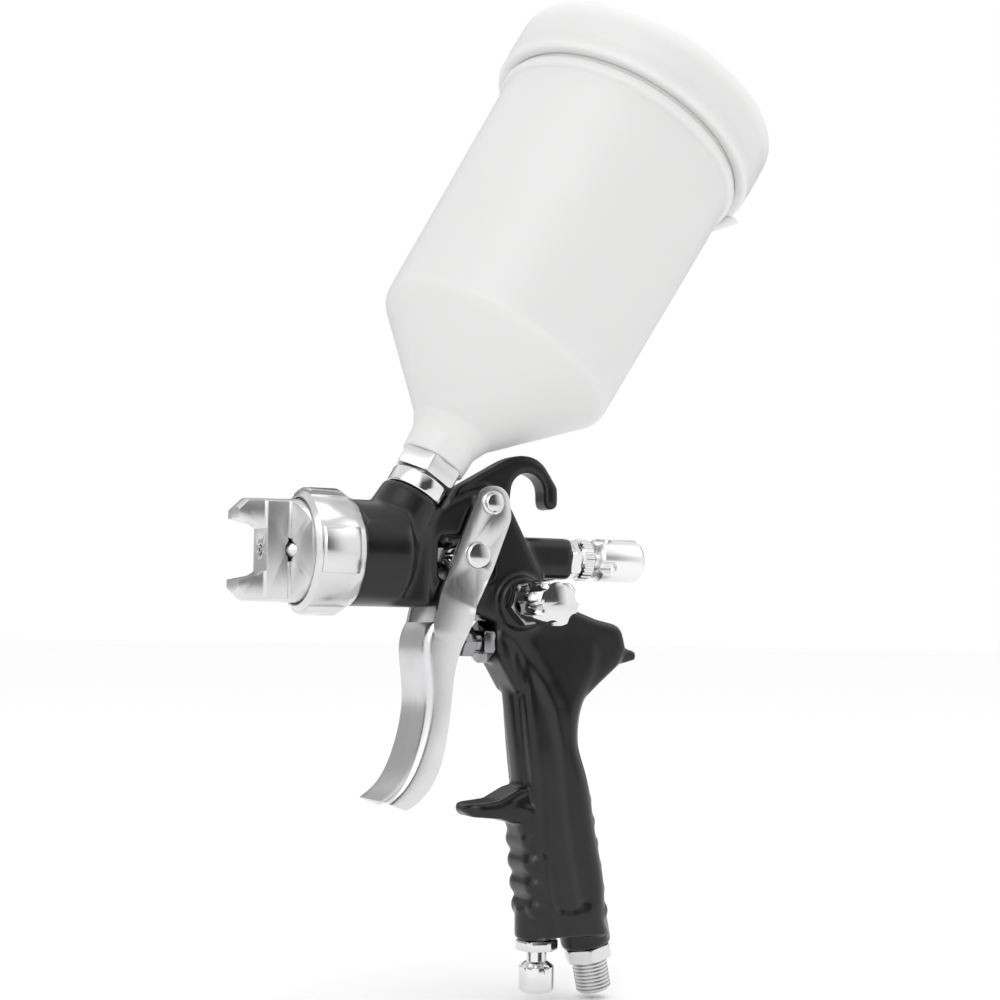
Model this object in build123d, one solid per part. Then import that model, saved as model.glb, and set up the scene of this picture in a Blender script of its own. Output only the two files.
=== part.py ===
"""Gravity-feed paint spray gun, built as an assembly of separate pieces.

Frame: the gun is drawn with the spray axis along X at Z = 0, spraying towards -X, +Z up and -Y on
the user's left, where the pattern knob is. Each finished piece is then moved so that the origin is
on the axis of the air inlet thread, at its lower crest. Lengths are millimetres.
"""

import os
from math import cos, pi, radians, sin

from build123d import *

os.makedirs("parts", exist_ok=True)

# ---------------------------------------------------------------- driving dimensions
RUN = 0.05  # radial clearance of a shaft that turns or slides in its hole
GAP = 0.1  # clearance between faces that nearly touch

# head, nozzle and air cap, along the spray axis
HEAD_R = 19.2
HEAD_FRONT_X = -51.0
HEAD_REAR_X = -33.0
NOSE_STEP = 2.4  # how much smaller the threaded nose is than the head
NOSE_LEN = 10.0
RING_STEP = 2.0  # how much larger the retaining ring is than the head
RING_LEN = 19.0
RING_LIP = 2.4  # thickness of the ring's front lip
RING_WALL = 1.6
RING_PADS = 4
RING_PAD_W = 16.0
RING_PAD_RISE = 1.5
CAP_REACH = 13.2  # from the ring's front to the face between the horns
CAP_HORN_LEN = 10.0
CAP_WALL = 2.2
CAP_CENTRE_HOLE_R = 2.0
CAP_AUX_R = 0.45
CAP_AUX_PITCH_R = 3.7
CAP_AUX_COUNT = 8
CAP_FLAT_HALF = 6.8  # half width across the milled flats
CAP_HORN_STEP = 0.9  # how much narrower each side of the horns is
CAP_HORN_HOLE_R = 0.7
ORIFICE_R = 0.7
NOZZLE_THREAD_R = 6.4
NOZZLE_THREAD_LEN = 9.0
NOZZLE_FLANGE_R = 9.2
NOZZLE_FLANGE_LEN = 5.0
FLUID_BORE_R = 4.6
BAFFLE_T = 3.4
BAFFLE_HOLES = 12
PILLAR_REAR_X = -18.0
PILLAR_HALF = 9.9

# needle, its packing and its spring
NEEDLE_R = 1.25
NEEDLE_TAIL_BACK = 5.0  # how far the needle's tail stops short of the rear boss's face
COLLAR_R = 3.6
COLLAR_LEN = 9.0
COLLAR_GAP = 1.16  # free travel of the trigger bar before it lifts the needle
NEEDLE_TRAVEL = 2.4
KNOB_TRAVEL = 2.4  # how far the fluid knob screws in
SPRING_WIRE_R = 0.45
NEEDLE_SPRING_R = 2.6
NEEDLE_SPRING_COILS = 6
PACKING_NUT_AF = 9.0
PACKING_NUT_LEN = 4.2

# trigger
PIVOT = (1.8, 19.4)  # X, Z of the trigger pin
BAR = (-4.0, 0.0)  # X, Z of the bar that lifts the needle
BAR_R = 4.6
PIN_R = 2.6
PIN_HEAD_R = 4.4
PIN_HEAD_LEN = 2.2
STRAP_INNER = 10.4  # half width inside the trigger's straps
STRAP_T = 2.0
STRAP_END_R = 6.2
WEB_T = 2.0  # thickness of the finger face
TRIGGER_ROUND = 3.4

# rear: guide screw, lock ring and fluid knob
CORE_HALF = 8.8
WINDOW_X = (PILLAR_REAR_X, 5.0)
WINDOW_Z = (-9.0, 7.0)
REAR_END_X = 39.0
REAR_BOSS_W = 14.8
REAR_BOSS_H = 15.6
REAR_BORE_R = 4.7
GUIDE_THREAD_R = 5.8
GUIDE_THREAD_LEN = 6.0
GUIDE_AF = 13.2
GUIDE_LEN = 4.4
LOCK_R = 8.0
LOCK_LEN = 5.4
LOCK_TEETH = 30
SPINDLE_R = 4.2
SPINDLE_REACH = 14.0  # how far the knob's spindle reaches into the rear boss
SEAT_T = 1.2
FLUID_KNOB_R = 8.2
FLUID_KNOB_GAP = 2.8  # bare thread between the lock ring and the knob
FLUID_KNOB_LEN = 19.4
FLUID_FLUTES = 4
KNOB_FLUTE_R = 2.4

# air valve, below the spray axis
VALVE_Z = -31.5
VALVE_FACE_X = 6.6
VALVE_BOSS_R = 7.9
VALVE_BORE_R = 5.2
VALVE_BORE_END_X = 43.0
VALVE_HEX_AF = 13.6
VALVE_HEX_LEN = 4.6
VALVE_SLEEVE_LEN = 9.4
PACK_HEX_AF = 10.6
PACK_HEX_LEN = 5.0
PACK_NECK_LEN = 2.4
STEM_R = 1.5
STEM_LEAD = 0.47  # how far the stem stops short of the trigger's inner face
POPPET_R = 4.3
VALVE_SPRING_R = 3.3
VALVE_SPRING_COILS = 6

# pattern knob, on the left side
FAN_X, FAN_Z = 16.0, -17.0
FAN_BOSS_R = 9.8
FAN_FACE_Y = -12.0
FAN_BORE_R = 4.6
FAN_HEX_AF = 15.2
FAN_HEX_LEN = 5.6
FAN_KNOB_R = 8.4
FAN_KNOB_LEN = 17.0
FAN_KNOB_GAP = 2.8
FAN_LOBES = 6
KNOB_SPINDLE_R = 3.2
SEAL_WIDTH = 1.4
SEAL_DEPTH = 0.9

# hanging hook
HOOK_C = (21.0, 24.6)  # X, Z of the hook's centre
HOOK_IN_R = 7.2
HOOK_HALF = 4.9
HOOK_EDGE = 1.2
HOOK_TIP_W = 5.6

# grip and its foot
AIR_X = 28.9
FOOT_Z = -141.8
AIR_BOSS_R = 8.4
AIR_BORE_R = 5.0
AIR_HEX_AF = 14.0
AIR_HEX_LEN = 3.8
AIR_KNOB_R = 6.6
AIR_KNOB_LEN = 10.6
AIR_NECK_LEN = 4.6
AIR_FLUTES = 6
AIR_SPINDLE_R = 3.8
INLET_LEAN = 11.7  # degrees, foot of the grip swept back
INLET_X = 53.7
INLET_DROP = 19.4  # from the foot of the grip down to the lower thread crest
INLET_BOSS_R = 9.5
INLET_SPIGOT_R = 5.35
THREAD_R = 6.58  # G 1/4 major radius
THREAD_ROOT_R = 5.75
THREAD_PITCH = 1.337
THREAD_TURNS = 8
THREAD_LEAD = 0.9
INLET_HEX_AF = 16.0
INLET_HEX_LEN = 4.8
INLET_BORE_R = 3.6
GRIP_TOP = -44.0
GRIP_HALF = 11.9
SCALLOP_R = 4.9
SCALLOP_PITCH = 8.3
SCALLOP_RISE = 0.7  # how far each scallop stands out of the grip
BACK_SCALLOPS = 6
FRONT_SCALLOPS = 4
REST_HALF = 8.4  # half width of the finger rest

# cup
CUP_X = -37.8  # where the cup axis crosses the spray axis
CUP_LEAN = 31.2  # degrees
BOSS_TOP = 25.2
BOSS_R = 11.9
PORT_BORE_R = 7.0
JOINT_R = 11.2
JOINT_LEN = 6.6
JOINT_BORE_R = 4.6
JOINT_TAIL = 12.6
CUP_NUT_AF = 22.0
CUP_NUT_LEN = 7.2
CUP_NUT_GAP = 0.7
NUT_SPIGOT_WALL = 2.4
NUT_SPIGOT_LEN = 7.0
NECK_WALL = 2.95
NECK_LEN = 14.6
NECK_BORE_R = 8.4
CUP_R_LOW = 47.2
CUP_R_TOP = 49.4
SHOULDER = 88.5  # distance up the cup axis of the shoulder
CUP_RIM = 209.0
CUP_WALL = 2.0
LID_OVERHANG = 5.4  # how much wider the lid is than the cup's wall
LID_SKIRT = 16.0
LID_RISE = 7.6
LID_WALL = 2.0
LID_PLUG = 5.0
LID_TAB_W = 24.0
VENT_R = 8.0
VENT_LEN = 7.0
VENT_PEG_R = 1.9
VENT_TEETH = 16
STRAINER_LEN = 26.0

# ---------------------------------------------------------------- sizes that follow
NOSE_R = HEAD_R - NOSE_STEP
RING_R = HEAD_R + RING_STEP
RING_BORE_R = RING_R - RING_WALL - 0.2
STRAP_OUTER = STRAP_INNER + STRAP_T
NOSE_FRONT_X = HEAD_FRONT_X - NOSE_LEN
RING_FRONT_X = HEAD_FRONT_X - RING_LEN
CAP_FLOOR_X = RING_FRONT_X - CAP_REACH
CAP_TIP_X = CAP_FLOOR_X - CAP_HORN_LEN
NEEDLE_TIP_X = CAP_FLOOR_X + 1.1
NEEDLE_TAIL_X = REAR_END_X - NEEDLE_TAIL_BACK
COLLAR_X = BAR[0] + BAR_R + COLLAR_GAP
NEEDLE_SPRING_X = COLLAR_X + COLLAR_LEN + GAP
SPINDLE_FRONT_X = REAR_END_X - SPINDLE_REACH
LOCK_X = REAR_END_X + GUIDE_LEN + GAP
FLUID_KNOB_X = LOCK_X + LOCK_LEN + FLUID_KNOB_GAP
VALVE_HEX_X = VALVE_FACE_X - VALVE_HEX_LEN
PACK_HEX_X = VALVE_HEX_X - PACK_NECK_LEN - PACK_HEX_LEN
POPPET_X = VALVE_FACE_X + VALVE_SLEEVE_LEN + 2.2
FAN_FACE = -FAN_FACE_Y
FAN_KNOB_START = FAN_FACE + FAN_HEX_LEN + FAN_KNOB_GAP
FAN_SEAL_AT = FAN_FACE - 4.0
AIR_KNOB_START = AIR_HEX_LEN + AIR_NECK_LEN
AIR_SEAL_AT = -5.0
INLET = (INLET_X, FOOT_Z - INLET_DROP)
THREAD_TOP = THREAD_PITCH * THREAD_TURNS + 0.4
FOOT_FACE = THREAD_TOP + INLET_HEX_LEN
JOINT_TOP = BOSS_TOP + JOINT_LEN
NUT_LOW = JOINT_TOP + CUP_NUT_GAP
NUT_TOP = NUT_LOW + CUP_NUT_LEN
NUT_SPIGOT_R = PORT_BORE_R + NUT_SPIGOT_WALL
NECK_R = NUT_SPIGOT_R + RUN + NECK_WALL
NECK_TOP = NUT_TOP + NECK_LEN
LID_R = CUP_R_TOP + LID_OVERHANG
LID_LOW = CUP_RIM - LID_SKIRT
LID_TOP = CUP_RIM + LID_RISE

# finger channel of the trigger: front X, Z and back X, Z, from the top down
TRIGGER_SECTIONS = [
    (-22.0, -24.6, -4.4, -19.0),
    (-24.8, -31.5, -8.8, -31.0),
    (-24.4, -42.0, -12.6, -42.0),
    (-23.6, -54.0, -14.0, -54.0),
    (-25.8, -67.0, -15.4, -65.0),
    (-30.4, -78.8, -17.8, -75.6),
    (-35.2, -84.8, -22.6, -84.6),
    (-39.8, -88.0, -31.4, -91.2),
]
STEM_TIP_X = TRIGGER_SECTIONS[1][0] + WEB_T + STEM_LEAD

# ---------------------------------------------------------------- frames
SPRAY = Plane(origin=(0, 0, 0), x_dir=(0, 0, 1), z_dir=(1, 0, 0))
VALVE = Plane(origin=(0, 0, VALVE_Z), x_dir=(0, 0, 1), z_dir=(1, 0, 0))
FAN = Plane(origin=(FAN_X, 0, FAN_Z), x_dir=(1, 0, 0), z_dir=(0, -1, 0))
AIR = Plane(origin=(AIR_X, 0, FOOT_Z), x_dir=(1, 0, 0), z_dir=(0, 0, -1))
lean = radians(CUP_LEAN)
CUP = Plane(origin=(CUP_X, 0, 0), x_dir=(cos(lean), 0, -sin(lean)), z_dir=(sin(lean), 0, cos(lean)))
sweep_back = radians(INLET_LEAN)
FOOT = Plane(
    origin=(INLET[0], 0, INLET[1]),
    x_dir=(cos(sweep_back), 0, sin(sweep_back)),
    z_dir=(-sin(sweep_back), 0, cos(sweep_back)),
)
TO_ROW = Location((-INLET[0], 0, -INLET[1]))


# ---------------------------------------------------------------- shape helpers
def turned(frame, *outline):
    """Solid of revolution about a frame's Z: outline is (radius, distance along) pairs."""
    points = [(r, 0, s) for r, s in outline]
    return frame.location * revolve(make_face(Polyline(*points, close=True)), Axis.Z, 360)


def rod(frame, radius, start, end):
    """Cylinder along a frame's Z from start to end."""
    low = min(start, end)
    return frame.location * Pos(0, 0, low) * Cylinder(
        radius, abs(end - start), align=(Align.CENTER, Align.CENTER, Align.MIN)
    )


def tube(frame, outer, inner, start, end):
    """Ring or bush along a frame's Z."""
    return rod(frame, outer, start, end) - rod(frame, inner, start - 1, end + 1)


def hexagon(frame, across_flats, start, end, turn=0.0, chamfer_by=0.6):
    """Hexagonal bar along a frame's Z, its corners turned off at both ends."""
    bar = extrude(RegularPolygon(across_flats / 2, 6, major_radius=False, rotation=turn), end - start)
    corner = across_flats / 2 / cos(pi / 6)
    cone = turned(
        Plane.XY,
        (0, 0), (corner - chamfer_by, 0), (corner, chamfer_by),
        (corner, end - start - chamfer_by), (corner - chamfer_by, end - start), (0, end - start),
    )
    return frame.location * Pos(0, 0, start) * (bar & cone)


def grooved(frame, crest, root, start, pitch, count):
    """Rings of a screw thread, cut out of a crest cylinder: one V groove for each pitch."""
    cutter = Part()
    for n in range(count):
        middle = start + (n + 0.5) * pitch
        half = pitch * 0.34
        cutter += turned(
            frame, (root, middle), (crest + 0.2, middle - half), (crest + 0.2, middle + half)
        )
    return cutter


def side_plate(points, half, edge=0.0, corner=0.0):
    """Plate of an (X, Z) outline, centred on the gun's middle plane."""
    face = make_face(Polyline(*points, close=True))
    if corner:
        face = fillet(face.vertices(), corner)
    plate = Plane.XZ.location * extrude(face, half, both=True)
    if edge:
        flat = [e for e in plate.edges() if abs(abs(e.center().Y) - half) < 1e-3]
        plate = fillet(flat, edge)
    return plate


def soft_plate(corners, half, edge=0.0):
    """Plate whose outline has (x, z, radius) corners, centred on the gun's middle plane."""
    points = [(x, z) for x, z, radius in corners]
    outline = FilletPolyline(*points, radius=[radius for x, z, radius in corners], close=True)
    plate = Plane.XZ.location * extrude(make_face(outline), half, both=True)
    if edge:
        rim = [e for e in plate.edges() if abs(abs(e.center().Y) - half) < 1e-3]
        plate = fillet(rim, edge)
    return plate


def outline_plate(curves, half):
    """Plate bounded by joined curves in (X, Z), centred on the gun's middle plane."""
    edges = [edge for curve in curves for edge in curve.edges()]
    return Plane.XZ.location * extrude(make_face(Wire(edges)), half, both=True)


def coil(frame, radius, wire, start, length, turns):
    """Helical compression spring along a frame's Z."""
    path = Helix(pitch=(length - 2 * wire) / turns, height=length - 2 * wire, radius=radius)
    section = Plane(origin=path @ 0, z_dir=path % 0) * Circle(wire)
    return frame.location * Pos(0, 0, start + wire) * sweep(section, path=path, is_frenet=True)


# ---------------------------------------------------------------- gun body
def head():
    """Round head, its threaded nose and the upright behind it, with the cup boss on top."""
    shape = rod(SPRAY, HEAD_R, HEAD_FRONT_X, HEAD_REAR_X)
    shape += turned(
        SPRAY,
        (0, HEAD_REAR_X), (HEAD_R, HEAD_REAR_X), (PILLAR_HALF, HEAD_REAR_X + 6), (0, HEAD_REAR_X + 6),
    )
    shape += turned(
        SPRAY,
        (0, NOSE_FRONT_X), (NOSE_R - 0.8, NOSE_FRONT_X), (NOSE_R, NOSE_FRONT_X + 0.8),
        (NOSE_R, HEAD_FRONT_X), (0, HEAD_FRONT_X),
    )
    upright = Pos((HEAD_REAR_X + PILLAR_REAR_X) / 2 - 1, 0, -2.5) * Box(
        PILLAR_REAR_X - HEAD_REAR_X + 2, 2 * PILLAR_HALF, 33.4
    )
    shape += fillet(upright.edges().filter_by(Axis.Z), 6.5)
    shape += turned(
        CUP, (0, 0), (BOSS_R + 2.4, 0), (BOSS_R + 0.6, BOSS_TOP - 9), (BOSS_R, BOSS_TOP - 1.2),
        (BOSS_R - 1.2, BOSS_TOP), (0, BOSS_TOP),
    )
    return shape


def frame_plate():
    """Middle plate from the head over the window to the grip, with the hanging hook."""
    core = side_plate(
        [
            (-24, 14), (-14.5, 19.5), (-6, 23.5), (2, 26.0), (9, 23), (12.8, 17), (17.2, 9),
            (22.4, -1.5), (29.4, -12.6), (36, -19), (36, -50), (15, -50), (7.6, -38), (7.6, -25),
            (-8, -19), (-24, -19),
        ],
        CORE_HALF,
        edge=2.0,
    )
    window = Pos(sum(WINDOW_X) / 2, 0, sum(WINDOW_Z) / 2) * Box(
        WINDOW_X[1] - WINDOW_X[0], 60, WINDOW_Z[1] - WINDOW_Z[0]
    )
    return core - fillet(window.edges().filter_by(Axis.Y), 2.4)


def hook():
    """Bar that rises from the cup boss and bends over as a hanging hook."""
    cx, cz = HOOK_C
    inside = cx + HOOK_IN_R
    outside = inside + HOOK_TIP_W
    curves = [
        Line((-14.5, 17.5), (-12.0, 23.2)),
        Line((-12.0, 23.2), (9.6, 35.4)),
        Spline(
            (9.6, 35.4), (18.4, 38.4), (27.0, 35.8), (32.4, 28.6), (outside, 21.0),
            tangents=[(0.87, 0.49), (0.0, -1)],
        ),
        ThreePointArc((outside, 21.0), ((outside + inside) / 2, 18.3), (inside, 21.0)),
        Line((inside, 21.0), (inside, cz)),
        ThreePointArc((inside, cz), (cx, cz + HOOK_IN_R), (cx - HOOK_IN_R, cz)),
        Line((cx - HOOK_IN_R, cz), (12.6, 15)),
        Line((12.6, 15), (-2, 15)),
        Line((-2, 15), (-14.5, 17.5)),
    ]
    plate = outline_plate(curves, HOOK_HALF)
    flat = [e for e in plate.edges() if abs(abs(e.center().Y) - HOOK_HALF) < 1e-3 and e.center().Z > 20]
    return fillet(flat, HOOK_EDGE)


def down_grip(share):
    """Height of a point on the grip, as a share of the way from its top to its foot."""
    return GRIP_TOP + share * (FOOT_Z + 1.6 - GRIP_TOP)


def grip_section(z, front, back, half, front_round, back_round):
    """Level section of the grip with different front and back corners."""
    face = Pos((front + back) / 2, 0, 0) * Rectangle(back - front, 2 * half)
    corners = face.vertices().sort_by(Axis.X)
    face = fillet(corners[:2], front_round)
    face = fillet(face.vertices().sort_by(Axis.X)[-2:], back_round)
    return Pos(0, 0, z) * face


def grip_back(share):
    """X of the grip's back at a share of its height."""
    return 42.4 + 14.4 * max(share - 0.27, 0.0) ** 0.78 / 0.73 ** 0.78


def palm():
    """Side panels and rounded back of the grip, faired up into the thumb web."""
    stations = [  # share of the height, front X, back X, half width
        (-0.16, 17.0, 54.0, 0.72), (-0.06, 17.0, 52.6, 0.78), (0.03, 17.2, 48.8, 0.85),
        (0.10, 17.6, 44.8, 0.91), (0.18, 18.4, 42.6, 0.95), (0.27, 19.4, 42.4, 0.98),
        (0.38, 20.8, grip_back(0.38), 1.0), (0.52, 22.4, grip_back(0.52), 1.0),
        (0.68, 23.4, grip_back(0.68), 1.0), (0.84, 24.4, grip_back(0.84), 0.99),
        (1.0, 25.4, grip_back(1.0), 0.97),
    ]
    return loft(
        [
            grip_section(down_grip(share), front, back, GRIP_HALF * wide, 3.6, GRIP_HALF * wide * 0.62)
            for share, front, back, wide in stations
        ]
    )


def grip():
    """Grip with its front spine, finger rest, thumb spur and scalloped back."""
    shape = palm()
    lower = [  # share of the height, front X, half width
        (0.50, 14.0, 0.80), (0.57, 17.6, 0.88), (0.70, 20.4, 0.92), (0.85, 22.2, 0.93), (1.0, 23.6, 0.90),
    ]
    shape += loft(
        [
            grip_section(down_grip(share), front, 40, GRIP_HALF * wide, GRIP_HALF * wide * 0.7, 3)
            for share, front, wide in lower
        ]
    )
    spine = [(-0.08, 11.6, 5.8), (0.09, 14.4, 6.2), (0.28, 16.9, 6.8), (0.45, 18.8, 7.6), (0.53, 18.6, 8.4)]
    shape += loft(
        [grip_section(down_grip(share), front, 32, half, half * 0.8, 3) for share, front, half in spine]
    )
    rest_z = down_grip(0.5) + 1.4
    rest = side_plate(
        [
            (-3.4, rest_z), (9, rest_z + 1.2), (17, rest_z + 5.3), (24, rest_z + 6.8), (24, rest_z - 8.2),
            (14, rest_z - 7.2), (9.6, rest_z - 5.6), (-1.6, rest_z - 4.6), (-4.4, rest_z - 2.4),
        ],
        REST_HALF,
        edge=1.8,
    )
    tongue = SlotOverall(44, 2 * REST_HALF - 0.2)
    shape += rest & (Pos(17.2, 0, rest_z - 12) * extrude(tongue, 24))
    shape += thumb_web()
    for n in range(BACK_SCALLOPS):
        z = down_grip(0.5) - (n - 0.2) * SCALLOP_PITCH
        back = grip_back((z - GRIP_TOP) / (FOOT_Z + 1.6 - GRIP_TOP))
        shape += finger_pad(back - SCALLOP_R + SCALLOP_RISE, z, GRIP_HALF - 7.0)
    for n in range(FRONT_SCALLOPS):
        z = down_grip(0.63) - n * SCALLOP_PITCH
        front = 19.4 + 3.6 * n / FRONT_SCALLOPS
        shape += finger_pad(front + SCALLOP_R - SCALLOP_RISE, z, GRIP_HALF - 6.2)
    return shape


def thumb_web():
    """Web between the rear boss and the grip, with the thumb spur behind it."""
    web = soft_plate(
        [
            (14, -24, 3), (27, -13.6, 4), (37.6, -18.4, 12), (49.6, -22.6, 20), (60.4, -24.9, 6),
            (62.7, -34.2, 4), (59.4, -40.2, 6), (50.6, -47.4, 12), (42, -55, 3), (20, -55, 3),
        ],
        CORE_HALF,
        edge=2.6,
    )
    spur = soft_plate(
        [
            (54.6, -33.8, 1), (62.6, -33.2, 3), (68.3, -35.0, 1.2), (67.9, -37.9, 1.2), (60.4, -39.8, 6),
            (53.8, -42.3, 1),
        ],
        6.6,
        edge=0.9,
    )
    return web + spur


def finger_pad(x, z, half):
    """Rounded bar across the grip whose edge stands out as one scallop."""
    pad = Pos(x, 0, z) * Rot(90, 0, 0) * Cylinder(SCALLOP_R, 2 * half)
    for side in (-half, half):
        pad += Pos(x, side, z) * Sphere(SCALLOP_R)
    return pad


def body_passages():
    """Every bore in the casting: nozzle, fluid, cup port, needle spring, valves and air ways."""
    nozzle_seat = HEAD_FRONT_X + 6.0
    cut = rod(SPRAY, NOSE_R - 3.4, NOSE_FRONT_X - 1, NOSE_FRONT_X + 4.0)
    cut += rod(SPRAY, NOZZLE_FLANGE_R + 1.2, NOSE_FRONT_X, HEAD_FRONT_X)
    cut += rod(SPRAY, NOZZLE_THREAD_R + RUN, HEAD_FRONT_X - 1, HEAD_FRONT_X + NOZZLE_THREAD_LEN + GAP)
    cut += rod(SPRAY, FLUID_BORE_R, nozzle_seat, PILLAR_REAR_X + 1)
    cut += rod(CUP, PORT_BORE_R, BOSS_TOP - JOINT_TAIL - 1.0, BOSS_TOP + 1)
    cut += rod(CUP, JOINT_BORE_R, 2.0, BOSS_TOP)
    cut += rod(SPRAY, REAR_BORE_R, WINDOW_X[1] - 1, REAR_END_X)
    cut += rod(SPRAY, GUIDE_THREAD_R + RUN, REAR_END_X - GUIDE_THREAD_LEN - GAP, REAR_END_X + 1)
    cut += rod(VALVE, VALVE_BORE_R, VALVE_FACE_X - 2, VALVE_BORE_END_X)
    cut += rod(VALVE, VALVE_HEX_AF / 2 + 1.6, VALVE_FACE_X - 22, VALVE_FACE_X)
    cut += rod(CUP, CUP_NUT_AF / 2 / cos(pi / 6) + 0.5, BOSS_TOP, BOSS_TOP + 30)
    cut += rod(FAN, FAN_BORE_R, 1.0, FAN_FACE + 1)
    for side in (-4.4, 4.4):
        way = Plane(origin=(0, side, -14.2), x_dir=(0, 0, 1), z_dir=(1, 0, 0))
        cut += rod(way, 1.9, NOSE_FRONT_X + 6, FAN_X)
    cut += rod(Plane(origin=(FAN_X, 0, 0)), 2.4, VALVE_Z, -14.2)
    cut += rod(AIR, AIR_BORE_R, -22.0, 1.0)
    cut += rod(AIR, 3.0, FOOT_Z - VALVE_Z, -20.0)
    cut += rod(FOOT, INLET_SPIGOT_R + RUN, FOOT_FACE - 0.5, 38.0)
    cut += Pos((AIR_X + 46) / 2, 0, FOOT_Z + 17.5) * Rot(0, 90, 0) * Cylinder(2.6, 46 - AIR_X)
    return cut


def pivot_boss():
    """Round boss that the trigger pin runs through."""
    plane = Plane(origin=(PIVOT[0], 0, PIVOT[1]), x_dir=(1, 0, 0), z_dir=(0, -1, 0))
    return rod(plane, 6.0, -STRAP_INNER + 0.3, STRAP_INNER - 0.3), rod(plane, PIN_R + RUN, -30, 30)


def gun_body():
    """The whole casting."""
    shape = head() + frame_plate() + hook() + grip()
    rear = extrude(RectangleRounded(REAR_BOSS_H, REAR_BOSS_W, 4.6), REAR_END_X - WINDOW_X[1])
    shape += SPRAY.location * Pos(0, 0, WINDOW_X[1]) * rear
    shape += rod(VALVE, VALVE_BOSS_R, VALVE_FACE_X, VALVE_FACE_X + 20)
    shape += rod(VALVE, VALVE_BORE_R + 2.2, VALVE_FACE_X, VALVE_BORE_END_X + 2.2)
    shape += turned(
        FAN,
        (0, 0), (FAN_BOSS_R + 1, 6), (FAN_BOSS_R, FAN_FACE - 1.0), (FAN_BOSS_R - 1.0, FAN_FACE),
        (0, FAN_FACE),
    )
    shape += turned(AIR, (0, -12), (AIR_BOSS_R, -12), (AIR_BOSS_R, -1.2), (AIR_BOSS_R - 1.2, 0), (0, 0))
    shape += turned(
        FOOT,
        (0, FOOT_FACE), (INLET_BOSS_R - 1.2, FOOT_FACE), (INLET_BOSS_R, FOOT_FACE + 1.2),
        (INLET_BOSS_R, FOOT_FACE + 16), (0, FOOT_FACE + 16),
    )
    boss, pin_hole = pivot_boss()
    shape += boss
    return shape - body_passages() - pin_hole


# ---------------------------------------------------------------- nozzle end
def fluid_nozzle():
    """Fluid tip: thread, spanner flange, and the cone that ends in the orifice."""
    tip = CAP_FLOOR_X - 0.3
    flange = NOZZLE_FLANGE_R - 1.2
    flange_x = HEAD_FRONT_X - NOZZLE_FLANGE_LEN - 0.8
    thread_end = HEAD_FRONT_X + NOZZLE_THREAD_LEN
    shape = turned(
        SPRAY,
        (0, tip), (CAP_CENTRE_HOLE_R - 0.6, tip), (CAP_CENTRE_HOLE_R - 0.5, tip + 3.5), (6.2, tip + 12),
        (6.2, NOSE_FRONT_X - 4.5), (flange, NOSE_FRONT_X - 3.5), (flange, flange_x),
        (flange, HEAD_FRONT_X - 0.8), (NOZZLE_THREAD_R - 0.8, HEAD_FRONT_X - 0.8),
        (NOZZLE_THREAD_R - 0.8, HEAD_FRONT_X), (NOZZLE_THREAD_R, HEAD_FRONT_X + 0.6),
        (NOZZLE_THREAD_R, thread_end - 0.6), (NOZZLE_THREAD_R - 0.6, thread_end), (0, thread_end),
    )
    shape += hexagon(SPRAY, 2 * flange, flange_x, HEAD_FRONT_X - 0.8)
    bore = turned(
        SPRAY,
        (0, tip - 1), (ORIFICE_R, tip - 1), (ORIFICE_R, tip + 1.2), (NEEDLE_R + 0.25, tip + 5.0),
        (NEEDLE_R + 1.15, tip + 14), (NEEDLE_R + 2.15, thread_end + 1), (0, thread_end + 1),
    )
    return shape - bore


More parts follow.
